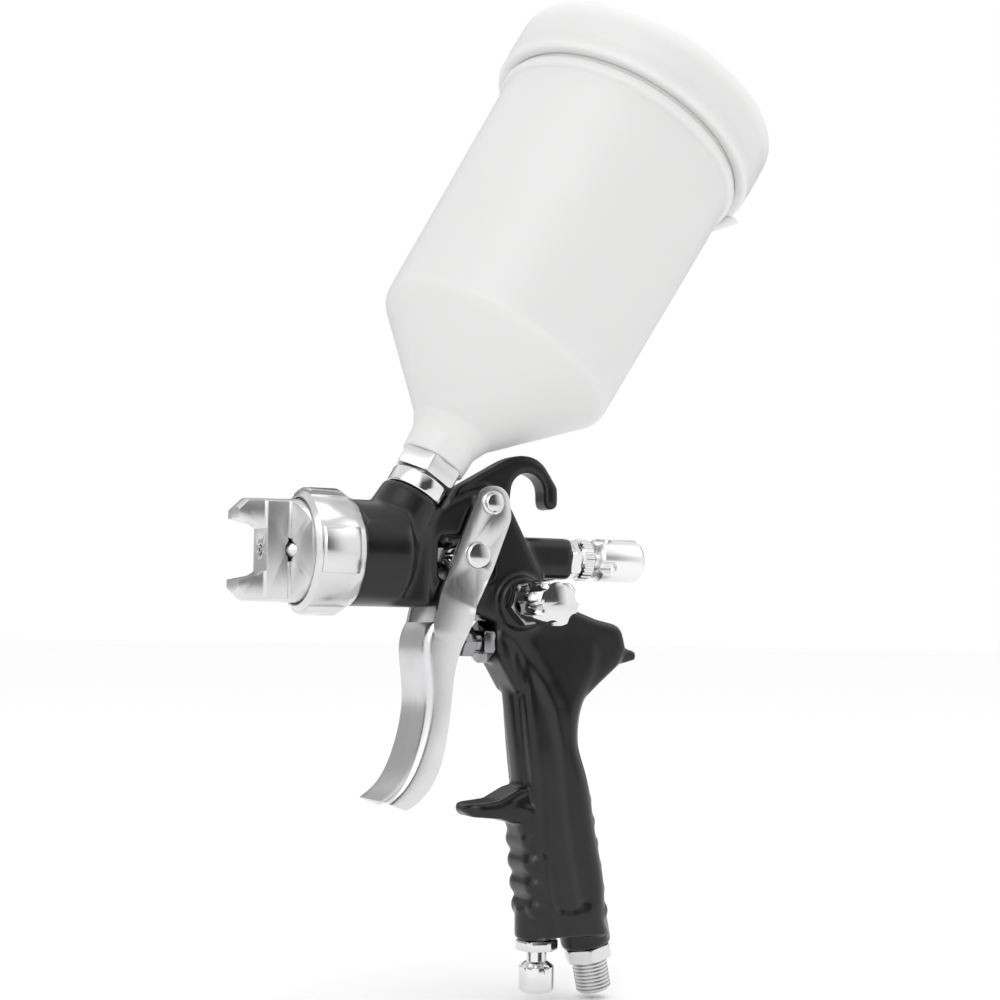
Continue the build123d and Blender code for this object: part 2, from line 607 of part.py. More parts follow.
def air_cap():
    """Air cap: flange and cone turned, two flats milled away, horns left standing."""
    flange_front = RING_FRONT_X + RING_LIP
    outer = RING_BORE_R - 0.1
    rim = outer - 1.0
    back = NOSE_FRONT_X - 0.2
    blank = turned(
        SPRAY,
        (0, CAP_TIP_X), (rim - 3.6, CAP_TIP_X), (rim - 0.4, CAP_TIP_X + 3.6), (rim - 0.2, CAP_FLOOR_X + 7),
        (rim, flange_front - 4.4), (rim, flange_front), (outer, flange_front), (outer, back), (0, back),
    )
    hollow = turned(
        SPRAY,
        (0, CAP_FLOOR_X + CAP_WALL), (4.6, CAP_FLOOR_X + CAP_WALL), (8.0, CAP_FLOOR_X + 9),
        (rim - 3.6, flange_front - 2.0), (rim - 3.6, NOSE_FRONT_X), (0, NOSE_FRONT_X),
    )
    shape = blank - hollow
    # sides milled to narrow horns and a bridge, then sloped out to the flange
    horn = CAP_FLAT_HALF - CAP_HORN_STEP
    groove_x = flange_front - 7.4
    for side in (-1, 1):
        wedge = Polyline(
            (CAP_TIP_X - 1, side * horn), (CAP_FLOOR_X - 0.8, side * horn),
            (CAP_FLOOR_X - 0.8 + CAP_HORN_STEP, side * CAP_FLAT_HALF), (groove_x - 0.5, side * CAP_FLAT_HALF),
            (groove_x, side * (CAP_FLAT_HALF - 0.5)), (groove_x + 0.5, side * CAP_FLAT_HALF),
            (flange_front - 2.6, side * (rim - 2.6)), (flange_front - 2.6, side * 30),
            (CAP_TIP_X - 1, side * 30), close=True,
        )
        shape -= extrude(make_face(wedge), 40, both=True)
    # slot between the horns: a flat floor and two sloped horn faces
    slot = Polyline(
        (CAP_TIP_X - 1, -11.8), (CAP_TIP_X, -10.6), (CAP_FLOOR_X - 2.6, -9.0), (CAP_FLOOR_X, -7.4),
        (CAP_FLOOR_X, 7.4), (CAP_FLOOR_X - 2.6, 9.0), (CAP_TIP_X, 10.6), (CAP_TIP_X - 1, 11.8), close=True,
    )
    shape -= Plane.XZ.location * extrude(make_face(slot), 30, both=True)
    holes = rod(SPRAY, CAP_CENTRE_HOLE_R, CAP_FLOOR_X - 1, CAP_FLOOR_X + 8)
    for n in range(CAP_AUX_COUNT):
        at = Rot(n * 360 / CAP_AUX_COUNT + 22.5, 0, 0) * Pos(0, 0, CAP_AUX_PITCH_R)
        holes += at * rod(SPRAY, CAP_AUX_R, CAP_FLOOR_X - 1, CAP_FLOOR_X + 8)
    for side in (-1, 1):
        jet = Plane(origin=(CAP_FLOOR_X - 5.2, 0, side * 9.0), x_dir=(0, 1, 0), z_dir=(0.62, 0, side * 0.78))
        holes += rod(jet, CAP_HORN_HOLE_R, -2, 6.5)
        duct = Plane(origin=(0, 0, side * 14.2), x_dir=(0, 1, 0), z_dir=(1, 0, 0))
        holes += rod(duct, 1.5, CAP_FLOOR_X - 5.5, flange_front)
    return shape - holes


def retaining_ring():
    """Ring that clamps the air cap on the nose, with grip pads round it."""
    back = HEAD_FRONT_X - GAP
    shape = turned(
        SPRAY,
        (0, RING_FRONT_X), (RING_R - 1.6, RING_FRONT_X), (RING_R, RING_FRONT_X + 1.6), (RING_R, back - 4.0),
        (HEAD_R + 0.9, back - 1.2), (HEAD_R + 0.3, back), (0, back),
    )
    pad_profile = turned(
        SPRAY,
        (RING_R - 1, RING_FRONT_X + 2.0), (RING_R + RING_PAD_RISE - 0.5, RING_FRONT_X + 2.0),
        (RING_R + RING_PAD_RISE, RING_FRONT_X + 2.8), (RING_R + RING_PAD_RISE, back - 5.4),
        (RING_R + RING_PAD_RISE - 1.0, back - 3.6), (RING_R - 1, back - 1.8),
    )
    for n in range(RING_PADS):
        slab = Pos(HEAD_FRONT_X - 10, 0, RING_R + 4) * Box(40, RING_PAD_W, 30)
        shape += pad_profile & (Rot(n * 360 / RING_PADS, 0, 0) * slab)
    lip_end = RING_FRONT_X + RING_LIP
    opening = RING_BORE_R - 0.6
    cut = turned(
        SPRAY,
        (0, RING_FRONT_X - 1), (opening + 0.8, RING_FRONT_X - 1), (opening, RING_FRONT_X + 0.8),
        (opening, lip_end - GAP), (RING_BORE_R, lip_end - GAP), (RING_BORE_R, NOSE_FRONT_X + 0.4),
        (NOSE_R + RUN, NOSE_FRONT_X + 0.4), (NOSE_R + RUN, HEAD_FRONT_X), (0, HEAD_FRONT_X),
    )
    return shape - cut


def baffle_ring():
    """Air distributor between the nose and the air cap."""
    x0 = NOSE_FRONT_X + 0.4
    outer = NOSE_R - 3.5
    inner = NOZZLE_FLANGE_R + 0.1
    shape = tube(SPRAY, outer, inner, x0, x0 + BAFFLE_T)
    for n in range(BAFFLE_HOLES):
        hole = rod(SPRAY, (outer - inner) * 0.22, x0 - 1, x0 + BAFFLE_T + 1)
        shape -= Rot(n * 360 / BAFFLE_HOLES, 0, 0) * Pos(0, 0, (outer + inner) / 2) * hole
    return shape


# ---------------------------------------------------------------- needle and trigger
def needle():
    """Needle with its taper, its long shank and the collar that the trigger bar pushes."""
    collar_end = COLLAR_X + COLLAR_LEN
    return turned(
        SPRAY,
        (0, NEEDLE_TIP_X), (0.35, NEEDLE_TIP_X), (NEEDLE_R - 0.1, NEEDLE_TIP_X + 6.5),
        (NEEDLE_R, NEEDLE_TIP_X + 14), (NEEDLE_R, COLLAR_X), (COLLAR_R - 0.5, COLLAR_X),
        (COLLAR_R, COLLAR_X + 0.5), (COLLAR_R, collar_end - 0.5), (COLLAR_R - 0.5, collar_end),
        (NEEDLE_R, collar_end), (NEEDLE_R, NEEDLE_TAIL_X - 0.5), (NEEDLE_R - 0.5, NEEDLE_TAIL_X),
        (0, NEEDLE_TAIL_X),
    )


def packing_nut():
    """Hollow screw behind the head that squeezes the needle packing."""
    head_x = PILLAR_REAR_X + GAP
    shape = hexagon(SPRAY, PACKING_NUT_AF, head_x, head_x + PACKING_NUT_LEN)
    shape += rod(SPRAY, FLUID_BORE_R - RUN, PILLAR_REAR_X - 4.5, head_x + 0.5)
    return shape - rod(SPRAY, NEEDLE_R + 0.15, -60, 20)


def channel_section(front, back, half, corner):
    """Rectangle from the channel's front to its back, with rounded front corners."""
    across = Vector(back[0] - front[0], 0, back[1] - front[1])
    face = Rectangle(across.length, 2 * half, align=(Align.MIN, Align.CENTER))
    face = fillet(face.vertices().sort_by(Axis.X)[:2], corner)
    normal = across.normalized().cross(Vector(0, 1, 0))
    return Plane(origin=(front[0], 0, front[1]), x_dir=across, z_dir=normal).location * face


def trigger():
    """Pressed trigger: two straps joined by a rounded finger channel, open behind."""
    outer = []
    inner = []
    for fx, fz, bx, bz in TRIGGER_SECTIONS:
        ahead = Vector(bx - fx, 0, bz - fz).normalized()
        outer.append(channel_section((fx, fz), (bx, bz), STRAP_OUTER, TRIGGER_ROUND))
        inner.append(
            channel_section(
                (fx + WEB_T * ahead.X, fz + WEB_T * ahead.Z), (bx + 4 * ahead.X, bz + 4 * ahead.Z),
                STRAP_INNER, TRIGGER_ROUND - STRAP_T + 0.2,
            )
        )
    inner.insert(0, Pos(0.6, 0, 6) * inner[0])
    inner.append(Pos(-1.8, 0, -1.2) * inner[-1])
    px, pz = PIVOT
    strap = [
        (-2.5, pz + STRAP_END_R, STRAP_END_R - 0.2), (px + STRAP_END_R, pz + STRAP_END_R, STRAP_END_R - 0.2),
        (9.7, 14.0, 8), (2.2, -5.2, 40), (-5.2, -20.6, 20), (-8.6, -30.4, 2), (-20, -33, 2),
        (-21.4, -26.4, 1), (-18.6, -13.6, 6),
    ]
    shape = loft(outer) + soft_plate(strap, STRAP_OUTER)
    above = Pos(30, 0, 60 + TRIGGER_SECTIONS[0][1]) * Box(200, 2 * STRAP_INNER, 120)
    pin = Plane(origin=(px, 0, pz), x_dir=(1, 0, 0), z_dir=(0, -1, 0))
    bar = Plane(origin=(BAR[0], 0, BAR[1]), x_dir=(1, 0, 0), z_dir=(0, -1, 0))
    behind = Pos(30, 0, -5) * Box(80, 2 * STRAP_INNER, 80)
    shape -= loft(inner) + above + behind
    return shape - rod(pin, PIN_R + RUN, -20, 20) - rod(bar, BAR_R - 0.8 + RUN, -20, 20)


def trigger_pin():
    """Pivot pin with a dished head at one side."""
    plane = Plane(origin=(PIVOT[0], 0, PIVOT[1]), x_dir=(1, 0, 0), z_dir=(0, -1, 0))
    top = STRAP_OUTER + GAP
    return turned(
        plane,
        (0, -top - 1.6), (PIN_R - 0.5, -top - 1.6), (PIN_R, -top - 1.1), (PIN_R, top), (PIN_HEAD_R, top),
        (PIN_HEAD_R, top + 0.6), (PIN_HEAD_R - 0.5, top + 1.0), (PIN_HEAD_R - 0.7, top + 1.0),
        (PIN_HEAD_R - 0.9, top + PIN_HEAD_LEN - 0.5), (PIN_HEAD_R - 1.4, top + PIN_HEAD_LEN),
        (0, top + PIN_HEAD_LEN),
    )


def pin_circlip():
    """Snap ring on the pin's plain end."""
    plane = Plane(origin=(PIVOT[0], 0, PIVOT[1]), x_dir=(1, 0, 0), z_dir=(0, -1, 0))
    top = STRAP_OUTER + GAP
    return tube(plane, PIN_HEAD_R, PIN_R, -top - 1.0, -top)


def trigger_bar():
    """Bar across the trigger, bored for the needle, that pushes the needle collar."""
    plane = Plane(origin=(BAR[0], 0, BAR[1]), x_dir=(1, 0, 0), z_dir=(0, -1, 0))
    neck = BAR_R - 0.8
    inner = STRAP_INNER - 0.3
    outer = STRAP_OUTER + GAP
    shape = turned(
        plane,
        (0, -outer - 1.8), (BAR_R - 0.4, -outer - 1.8), (BAR_R + 0.2, -outer - 1.2), (BAR_R + 0.2, -outer),
        (neck, -outer), (neck, -inner), (BAR_R, -inner), (BAR_R, inner), (neck, inner), (neck, outer),
        (BAR_R + 0.2, outer), (BAR_R + 0.2, outer + 1.2), (BAR_R - 0.4, outer + 1.8), (0, outer + 1.8),
    )
    slot = extrude(SlotOverall(5.4, 2 * (NEEDLE_R + 0.35), rotation=0), 30, both=True)
    return shape - SPRAY.location * slot


# ---------------------------------------------------------------- rear controls
def needle_spring():
    """Spring that closes the needle."""
    length = SPINDLE_FRONT_X - SEAT_T - GAP - NEEDLE_SPRING_X
    return coil(SPRAY, NEEDLE_SPRING_R, SPRING_WIRE_R, NEEDLE_SPRING_X, length, NEEDLE_SPRING_COILS)


def spring_seat():
    """Washer that the fluid knob pushes against the spring."""
    return tube(SPRAY, REAR_BORE_R - 0.3, NEEDLE_R + 0.3, SPINDLE_FRONT_X - SEAT_T, SPINDLE_FRONT_X - 0.02)


def guide_screw():
    """Hexagonal guide screwed into the rear of the body, threaded inside for the fluid knob."""
    shape = hexagon(SPRAY, GUIDE_AF, REAR_END_X, REAR_END_X + GUIDE_LEN, turn=15)
    shape += rod(SPRAY, GUIDE_THREAD_R, REAR_END_X - GUIDE_THREAD_LEN, REAR_END_X + 0.5)
    return shape - rod(SPRAY, SPINDLE_R + RUN, REAR_END_X - GUIDE_THREAD_LEN - 1, REAR_END_X + GUIDE_LEN + 1)


def lock_ring():
    """Knurled ring that locks the fluid knob."""
    end = LOCK_X + LOCK_LEN
    profile = turned(
        SPRAY,
        (0, LOCK_X), (LOCK_R - 1.0, LOCK_X), (LOCK_R, LOCK_X + 0.9), (LOCK_R, end - 0.9), (LOCK_R - 1.0, end),
        (0, end),
    )
    tooth = Pos(0, 0, LOCK_R + 0.35) * rod(SPRAY, 0.45 * LOCK_R * 2 * pi / LOCK_TEETH, LOCK_X - 1, end + 1)
    cuts = Part()
    for n in range(LOCK_TEETH):
        cuts += Rot(n * 360 / LOCK_TEETH, 0, 0) * tooth
    return profile - cuts - rod(SPRAY, SPINDLE_R + RUN, REAR_END_X, end + 1)


def fluid_knob():
    """Needle travel knob: spindle, body with a broken end edge, and ball-ended flutes at the front."""
    end = FLUID_KNOB_X + FLUID_KNOB_LEN
    shape = turned(
        SPRAY,
        (0, SPINDLE_FRONT_X), (SPINDLE_R - 0.6, SPINDLE_FRONT_X), (SPINDLE_R, SPINDLE_FRONT_X + 0.6),
        (SPINDLE_R, FLUID_KNOB_X + 0.5), (FLUID_KNOB_R - 1.4, FLUID_KNOB_X),
        (FLUID_KNOB_R, FLUID_KNOB_X + 1.2), (FLUID_KNOB_R, end - 1.8), (FLUID_KNOB_R - 1.0, end - 0.4),
        (FLUID_KNOB_R - 1.8, end), (0, end),
    )
    shape -= grooved(SPRAY, SPINDLE_R, SPINDLE_R - 0.45, LOCK_X + LOCK_LEN - 2.1, 1.0, 4)
    for n in range(FLUID_FLUTES):
        at = Rot(n * 360 / FLUID_FLUTES + 22, 0, 0) * Pos(0, 0, FLUID_KNOB_R + 0.2)
        shape -= at * rod(SPRAY, KNOB_FLUTE_R, FLUID_KNOB_X - 1, FLUID_KNOB_X + 4.0)
        shape -= at * Pos(FLUID_KNOB_X + 4.0, 0, 0) * Sphere(KNOB_FLUTE_R)
    bore_end = NEEDLE_TAIL_X + NEEDLE_TRAVEL + KNOB_TRAVEL + 0.3
    return shape - rod(SPRAY, NEEDLE_R + 0.3, SPINDLE_FRONT_X - 1, bore_end)


# ---------------------------------------------------------------- air valve
def valve_housing():
    """Screwed-in housing of the air valve: hexagon, sleeve and stem bore."""
    shape = hexagon(VALVE, VALVE_HEX_AF, VALVE_HEX_X, VALVE_FACE_X - GAP, turn=0)
    shape += rod(VALVE, VALVE_BORE_R - RUN, VALVE_FACE_X - 1, VALVE_FACE_X + VALVE_SLEEVE_LEN)
    shape += rod(VALVE, 4.3, VALVE_HEX_X - PACK_NECK_LEN + GAP, VALVE_HEX_X + 0.5)
    shape -= rod(VALVE, STEM_R + 0.25, -40, 60)
    shape -= rod(VALVE, 2.9, VALVE_HEX_X - 5, VALVE_HEX_X + 6)
    return shape - rod(VALVE, 3.6, VALVE_FACE_X + 5, VALVE_FACE_X + 20)


def valve_packing_nut():
    """Gland nut on the front of the air valve."""
    shape = hexagon(VALVE, PACK_HEX_AF, PACK_HEX_X, PACK_HEX_X + PACK_HEX_LEN, turn=30)
    shape += rod(VALVE, 2.9 - RUN, PACK_HEX_X + 1, VALVE_HEX_X + 3.0)
    return shape - rod(VALVE, STEM_R + RUN, -60, 60)


def valve_packing():
    """Soft packing squeezed by the gland nut."""
    return tube(VALVE, 2.85, STEM_R + 0.04, VALVE_HEX_X + 3.1, VALVE_HEX_X + 5.9)


def valve_seat():
    """Ring that the poppet closes against."""
    start = VALVE_FACE_X + VALVE_SLEEVE_LEN + GAP
    return tube(VALVE, VALVE_BORE_R - RUN, STEM_R + 1.1, start, start + 1.9)


def valve_stem():
    """Stem from the trigger to the poppet."""
    return turned(
        VALVE,
        (0, STEM_TIP_X), (STEM_R - 0.7, STEM_TIP_X), (STEM_R, STEM_TIP_X + 0.9), (STEM_R, POPPET_X - 0.1),
        (STEM_R + 1.0, POPPET_X - 0.1), (POPPET_R, POPPET_X), (POPPET_R, POPPET_X + 1.8),
        (2.2, POPPET_X + 2.6), (2.2, POPPET_X + 5.0), (0, POPPET_X + 5.0),
    )


def valve_spring():
    """Spring that closes the air valve and returns the trigger."""
    start = POPPET_X + 2.7
    return coil(VALVE, VALVE_SPRING_R, 0.5, start, VALVE_BORE_END_X - 0.1 - start, VALVE_SPRING_COILS)


# ---------------------------------------------------------------- pattern and air knobs
def fluted(radius, length, lobes, flute, depth):
    """Knob blank along Z from 0 to length, with round flutes over its whole length."""
    blank = turned(
        Plane.XY,
        (0, 0), (radius - 0.9, 0), (radius, 0.9), (radius, length - 0.9), (radius - 0.9, length), (0, length),
    )
    for n in range(lobes):
        at = Rot(0, 0, n * 360 / lobes) * Pos(radius + flute - depth, 0, length / 2)
        blank -= at * Cylinder(flute, length + 2)
    return blank


def fan_valve_nut():
    """Hexagonal bush screwed into the left side."""
    shape = hexagon(FAN, FAN_HEX_AF, FAN_FACE + GAP, FAN_FACE + FAN_HEX_LEN, turn=12)
    shape += rod(FAN, FAN_BORE_R - RUN, FAN_FACE - 3.0, FAN_FACE + 1)
    return shape - rod(FAN, KNOB_SPINDLE_R + RUN, 0, 60)


def fan_knob():
    """Pattern knob with its spindle."""
    at = FAN.location * Pos(0, 0, FAN_KNOB_START) * Rot(0, 0, 15)
    shape = at * fluted(FAN_KNOB_R, FAN_KNOB_LEN, FAN_LOBES, 3.2, 1.7)
    shape += rod(FAN, KNOB_SPINDLE_R, 5.0, FAN_KNOB_START + 1)
    return shape - seal_groove(FAN, KNOB_SPINDLE_R, FAN_SEAL_AT)


def seal_groove(frame, spindle, at):
    """Groove for a rubber ring round a spindle."""
    half = SEAL_WIDTH / 2 + GAP
    return tube(frame, spindle + 1, spindle - SEAL_DEPTH, at - half, at + half)


def seal_ring(frame, spindle, bore, at):
    """Rubber ring in a spindle's groove."""
    inner = spindle - SEAL_DEPTH + 0.03
    return tube(frame, bore - 0.03, inner, at - SEAL_WIDTH / 2, at + SEAL_WIDTH / 2)


def fan_spindle_seal():
    """Rubber ring on the pattern knob's spindle."""
    return seal_ring(FAN, KNOB_SPINDLE_R, FAN_BORE_R, FAN_SEAL_AT)


def air_spindle_seal():
    """Rubber ring on the air knob's spindle."""
    return seal_ring(AIR, AIR_SPINDLE_R, AIR_BORE_R, AIR_SEAL_AT)


def air_valve_nut():
    """Hexagonal bush under the front of the grip."""
    shape = hexagon(AIR, AIR_HEX_AF, GAP, AIR_HEX_LEN, turn=18)
    shape += rod(AIR, AIR_BORE_R - RUN, -4.0, 1.0)
    return shape - rod(AIR, AIR_SPINDLE_R + RUN, -30, 30)


def air_knob():
    """Air volume knob: spindle, neck, and a body with ball-ended flutes at the top."""
    end = AIR_KNOB_START + AIR_KNOB_LEN
    shape = turned(
        AIR,
        (0, -19.0), (0.6, -19.0), (AIR_SPINDLE_R, -15.5), (AIR_SPINDLE_R, AIR_KNOB_START - 0.6),
        (AIR_KNOB_R - 1.6, AIR_KNOB_START + 0.2), (AIR_KNOB_R, AIR_KNOB_START + 1.4), (AIR_KNOB_R, end - 1.0),
        (AIR_KNOB_R - 1.0, end), (0, end),
    )
    for n in range(AIR_FLUTES):
        at = Rot(0, 0, n * 360 / AIR_FLUTES + 20) * Pos(AIR_KNOB_R + 0.2, 0, AIR_KNOB_START)
        shape -= AIR.location * at * Sphere(1.9)
    return shape - seal_groove(AIR, AIR_SPINDLE_R, AIR_SEAL_AT)


def air_inlet():
    """Inlet nipple: pipe thread, hexagon, and a spigot pressed up into the grip."""
    lead = THREAD_LEAD
    shape = turned(
        FOOT,
        (0, -lead), (THREAD_R - lead, -lead), (THREAD_R, 0), (THREAD_R, THREAD_PITCH * THREAD_TURNS),
        (THREAD_ROOT_R, THREAD_TOP), (0, THREAD_TOP),
    )
    shape -= grooved(FOOT, THREAD_R, THREAD_ROOT_R, 0.0, THREAD_PITCH, THREAD_TURNS)
    shape += hexagon(FOOT, INLET_HEX_AF, THREAD_TOP, FOOT_FACE - 0.02, turn=10)
    shape += rod(FOOT, INLET_SPIGOT_R, FOOT_FACE - 1, FOOT_FACE + 8)
    return shape - rod(FOOT, INLET_BORE_R, -5, 60)


# ---------------------------------------------------------------- cup
def cup_joint():
    """Bright collar and double-ended thread between the gun and the cup."""
    thread = PORT_BORE_R - RUN
    low = BOSS_TOP + 0.02
    return turned(
        CUP,
        (JOINT_BORE_R, BOSS_TOP - JOINT_TAIL), (thread, BOSS_TOP - JOINT_TAIL), (thread, low),
        (JOINT_R - 0.5, low), (JOINT_R, low + 0.5), (JOINT_R, JOINT_TOP - 0.6), (JOINT_R - 0.6, JOINT_TOP),
        (thread, JOINT_TOP), (thread, NUT_TOP + 6), (JOINT_BORE_R, NUT_TOP + 6),
    )


def cup_nut():
    """Hexagonal insert moulded into the cup's neck."""
    shape = hexagon(CUP, CUP_NUT_AF, NUT_LOW, NUT_TOP, turn=8)
    shape += rod(CUP, NUT_SPIGOT_R, NUT_TOP - 0.5, NUT_TOP + NUT_SPIGOT_LEN)
    return shape - rod(CUP, PORT_BORE_R, NUT_LOW - 1, NUT_TOP + 20)


def cup():
    """Blow-moulded cup: neck, cone, slightly flared wall and a bead under the rim."""
    t = CUP_WALL
    socket = NUT_SPIGOT_R + RUN
    socket_top = NUT_TOP + NUT_SPIGOT_LEN + GAP
    low = NUT_TOP + 0.02
    rim_r = CUP_R_TOP + 0.2
    bead = LID_LOW - 5.0
    return turned(
        CUP,
        (socket, low), (NECK_R - 0.8, low), (NECK_R, low + 1.0), (NECK_R + 0.8, NECK_TOP - 4),
        (NECK_R + 3.4, NECK_TOP), (CUP_R_LOW - 4.0, SHOULDER - 4.2), (CUP_R_LOW - 1.0, SHOULDER - 0.6),
        (CUP_R_LOW, SHOULDER + 3.4), (CUP_R_TOP, bead - 1), (CUP_R_TOP + 1.4, bead),
        (CUP_R_TOP + 1.4, bead + 3),
        (rim_r, bead + 4), (rim_r, CUP_RIM), (rim_r - t, CUP_RIM), (CUP_R_TOP - t, bead - 1),
        (CUP_R_LOW - t, SHOULDER + 3.8), (CUP_R_LOW - 1.0 - t, SHOULDER + 0.6),
        (CUP_R_LOW - 4.0 - t, SHOULDER - 3.0), (NECK_R + 2.0, NECK_TOP + 1.6), (NECK_BORE_R, NECK_TOP - 3),
        (NECK_BORE_R, socket_top), (socket, socket_top),
    )


def paint_strainer():
    """Filter that stands in the neck of the cup."""
    base = NUT_TOP + NUT_SPIGOT_LEN + 3 * GAP
    top = base + STRAINER_LEN
    shape = tube(CUP, NECK_BORE_R - 0.2, 5.0, base, base + 1.5)
    shape += tube(CUP, 6.2, 5.0, base + 1.0, top)
    shape += rod(CUP, 6.2, top - 1.0, top + 0.5)
    for n in range(4):
        for level in range(4):
            at = CUP.location * Rot(0, 0, n * 45) * Pos(0, 0, base + 4.6 + level * 5.6)
            shape -= at * Rot(0, 90, 0) * Cylinder(1.7, 30)
    return shape


def lid():
    """Push-on lid with a skirt, a plug inside the rim, a raised middle and a pull tab."""
    t = LID_WALL
    plug_out = CUP_R_TOP + 0.2 - CUP_WALL - 0.3
    seat = CUP_RIM + 0.4
    deck = LID_TOP - 1.5
    shape = turned(
        CUP,
        (0, deck), (CUP_R_TOP - 16, deck), (CUP_R_TOP - 14, LID_TOP), (LID_R - 3.2, LID_TOP),
        (LID_R - 0.9, LID_TOP - 0.9), (LID_R, LID_TOP - 3.2), (LID_R, LID_LOW + 1.0), (LID_R - 0.8, LID_LOW),
        (LID_R - t, LID_LOW), (LID_R - t, seat), (plug_out, seat), (plug_out, CUP_RIM - LID_PLUG),
        (plug_out - t, CUP_RIM - LID_PLUG), (plug_out - t, deck - t), (0, deck - t),
    )
    tab = Pos(LID_R + 0.4, 0, LID_LOW + 0.5) * Box(5.2, LID_TAB_W, 1.8)
    shape += CUP.location * fillet(tab.edges().filter_by(Axis.Z), 1.8)
    return shape - rod(CUP, VENT_PEG_R + 0.3, LID_TOP - 20, LID_TOP + 10)


def vent_cap():
    """Small turning cap that opens and closes the lid's vent."""
    base = LID_TOP - 1.4
    shape = turned(
        CUP,
        (0, base - 4.5), (VENT_PEG_R, base - 4.5), (VENT_PEG_R, base), (VENT_R, base),
        (VENT_R, base + VENT_LEN - 2.0), (VENT_R - 1.0, base + VENT_LEN - 0.8),
        (VENT_R - 3.0, base + VENT_LEN), (0, base + VENT_LEN),
    )
    for n in range(VENT_TEETH):
        at = Rot(0, 0, n * 360 / VENT_TEETH) * Pos(VENT_R + 0.5, 0, base + VENT_LEN / 2)
        shape -= CUP.location * at * Cylinder(0.9, VENT_LEN + 1)
    return shape - CUP.location * Pos(0, 0, base + 1.5) * Rot(90, 0, 0) * Cylinder(0.8, 3 * VENT_R)


# ---------------------------------------------------------------- small seals
def needle_packing():
    """Soft packing round the needle, in the head."""
    return tube(SPRAY, FLUID_BORE_R - 0.05, NEEDLE_R + 0.06, PILLAR_REAR_X - 8.5, PILLAR_REAR_X - 4.6)


def nozzle_seal():
    """Flat seal under the nozzle's flange."""
    return tube(SPRAY, NOZZLE_FLANGE_R - 0.6, NOZZLE_THREAD_R - 0.7, HEAD_FRONT_X - 0.75, HEAD_FRONT_X - 0.02)


NODES = {
    "gun_body": gun_body,
    "fluid_nozzle": fluid_nozzle,
    "nozzle_seal": nozzle_seal,
    "baffle_ring": baffle_ring,
    "air_cap": air_cap,
    "retaining_ring": retaining_ring,
    "needle": needle,
    "needle_packing": needle_packing,
    "needle_packing_nut": packing_nut,
    "needle_spring": needle_spring,
    "spring_seat": spring_seat,
    "guide_screw": guide_screw,
    "lock_ring": lock_ring,
    "fluid_knob": fluid_knob,
    "trigger": trigger,
    "trigger_pin": trigger_pin,
    "pin_circlip": pin_circlip,
    "trigger_bar": trigger_bar,
    "valve_housing": valve_housing,
    "valve_packing_nut": valve_packing_nut,
    "valve_packing": valve_packing,
    "valve_seat": valve_seat,
    "valve_stem": valve_stem,
    "valve_spring": valve_spring,
    "fan_valve_nut": fan_valve_nut,
    "fan_knob": fan_knob,
    "fan_spindle_seal": fan_spindle_seal,
    "air_valve_nut": air_valve_nut,
    "air_knob": air_knob,
    "air_spindle_seal": air_spindle_seal,
    "air_inlet": air_inlet,
    "cup_joint": cup_joint,
    "cup_nut": cup_nut,
    "cup": cup,
    "paint_strainer": paint_strainer,
    "lid": lid,
    "vent_cap": vent_cap,
}

for name, build in NODES.items():
    export_step(TO_ROW * build(), f"parts/{name}.step")
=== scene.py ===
"""Gravity-feed spray gun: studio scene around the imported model.

Every length is in metres, in the model's own frame: +Z up, the gun sprays towards -X, and -Y is the
user's left side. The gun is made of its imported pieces; the casting, the cup and the worked metal are
rebuilt here with their finished surfaces, and every piece gets a procedural finish.
"""

import logging
import math
from dataclasses import dataclass, field
from enum import Enum

import bmesh
import bpy
import numpy as np
from mathutils import Matrix, Vector


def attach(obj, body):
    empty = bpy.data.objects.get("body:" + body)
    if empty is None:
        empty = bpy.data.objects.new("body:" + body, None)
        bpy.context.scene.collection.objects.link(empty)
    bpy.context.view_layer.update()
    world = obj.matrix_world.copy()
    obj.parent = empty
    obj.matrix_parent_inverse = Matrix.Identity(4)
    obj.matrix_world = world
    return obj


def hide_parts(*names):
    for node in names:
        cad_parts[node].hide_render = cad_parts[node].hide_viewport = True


MM = 0.001
WELD = 0.000002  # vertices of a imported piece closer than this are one
NO_AREA = 1e-14  # square metres; faces smaller than this are dropped
LOG = logging.getLogger("spray_gun")
Triple = tuple[float, float, float]
Path = tuple[tuple[float, float], ...]

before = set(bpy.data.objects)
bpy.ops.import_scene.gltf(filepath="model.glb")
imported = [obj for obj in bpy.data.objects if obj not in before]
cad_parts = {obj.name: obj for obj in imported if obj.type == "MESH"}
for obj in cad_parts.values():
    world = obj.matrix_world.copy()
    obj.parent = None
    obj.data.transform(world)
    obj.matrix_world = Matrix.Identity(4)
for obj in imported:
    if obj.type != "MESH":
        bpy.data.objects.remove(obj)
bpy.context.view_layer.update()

# The gun's own drawing frame: millimetres, spray axis along X at Z = 0.
DRAWING_ORIGIN = Vector((-0.0537, 0.0, 0.1612))
CUP_FOOT_X = -37.8
CUP_LEAN = math.radians(31.2)


# ------------------------------------------------------------------ shader maths
# Sockets of the Mix node's colour mode.
MIX_FACTOR, MIX_FIRST, MIX_SECOND, MIX_RESULT = 0, 6, 7, 2


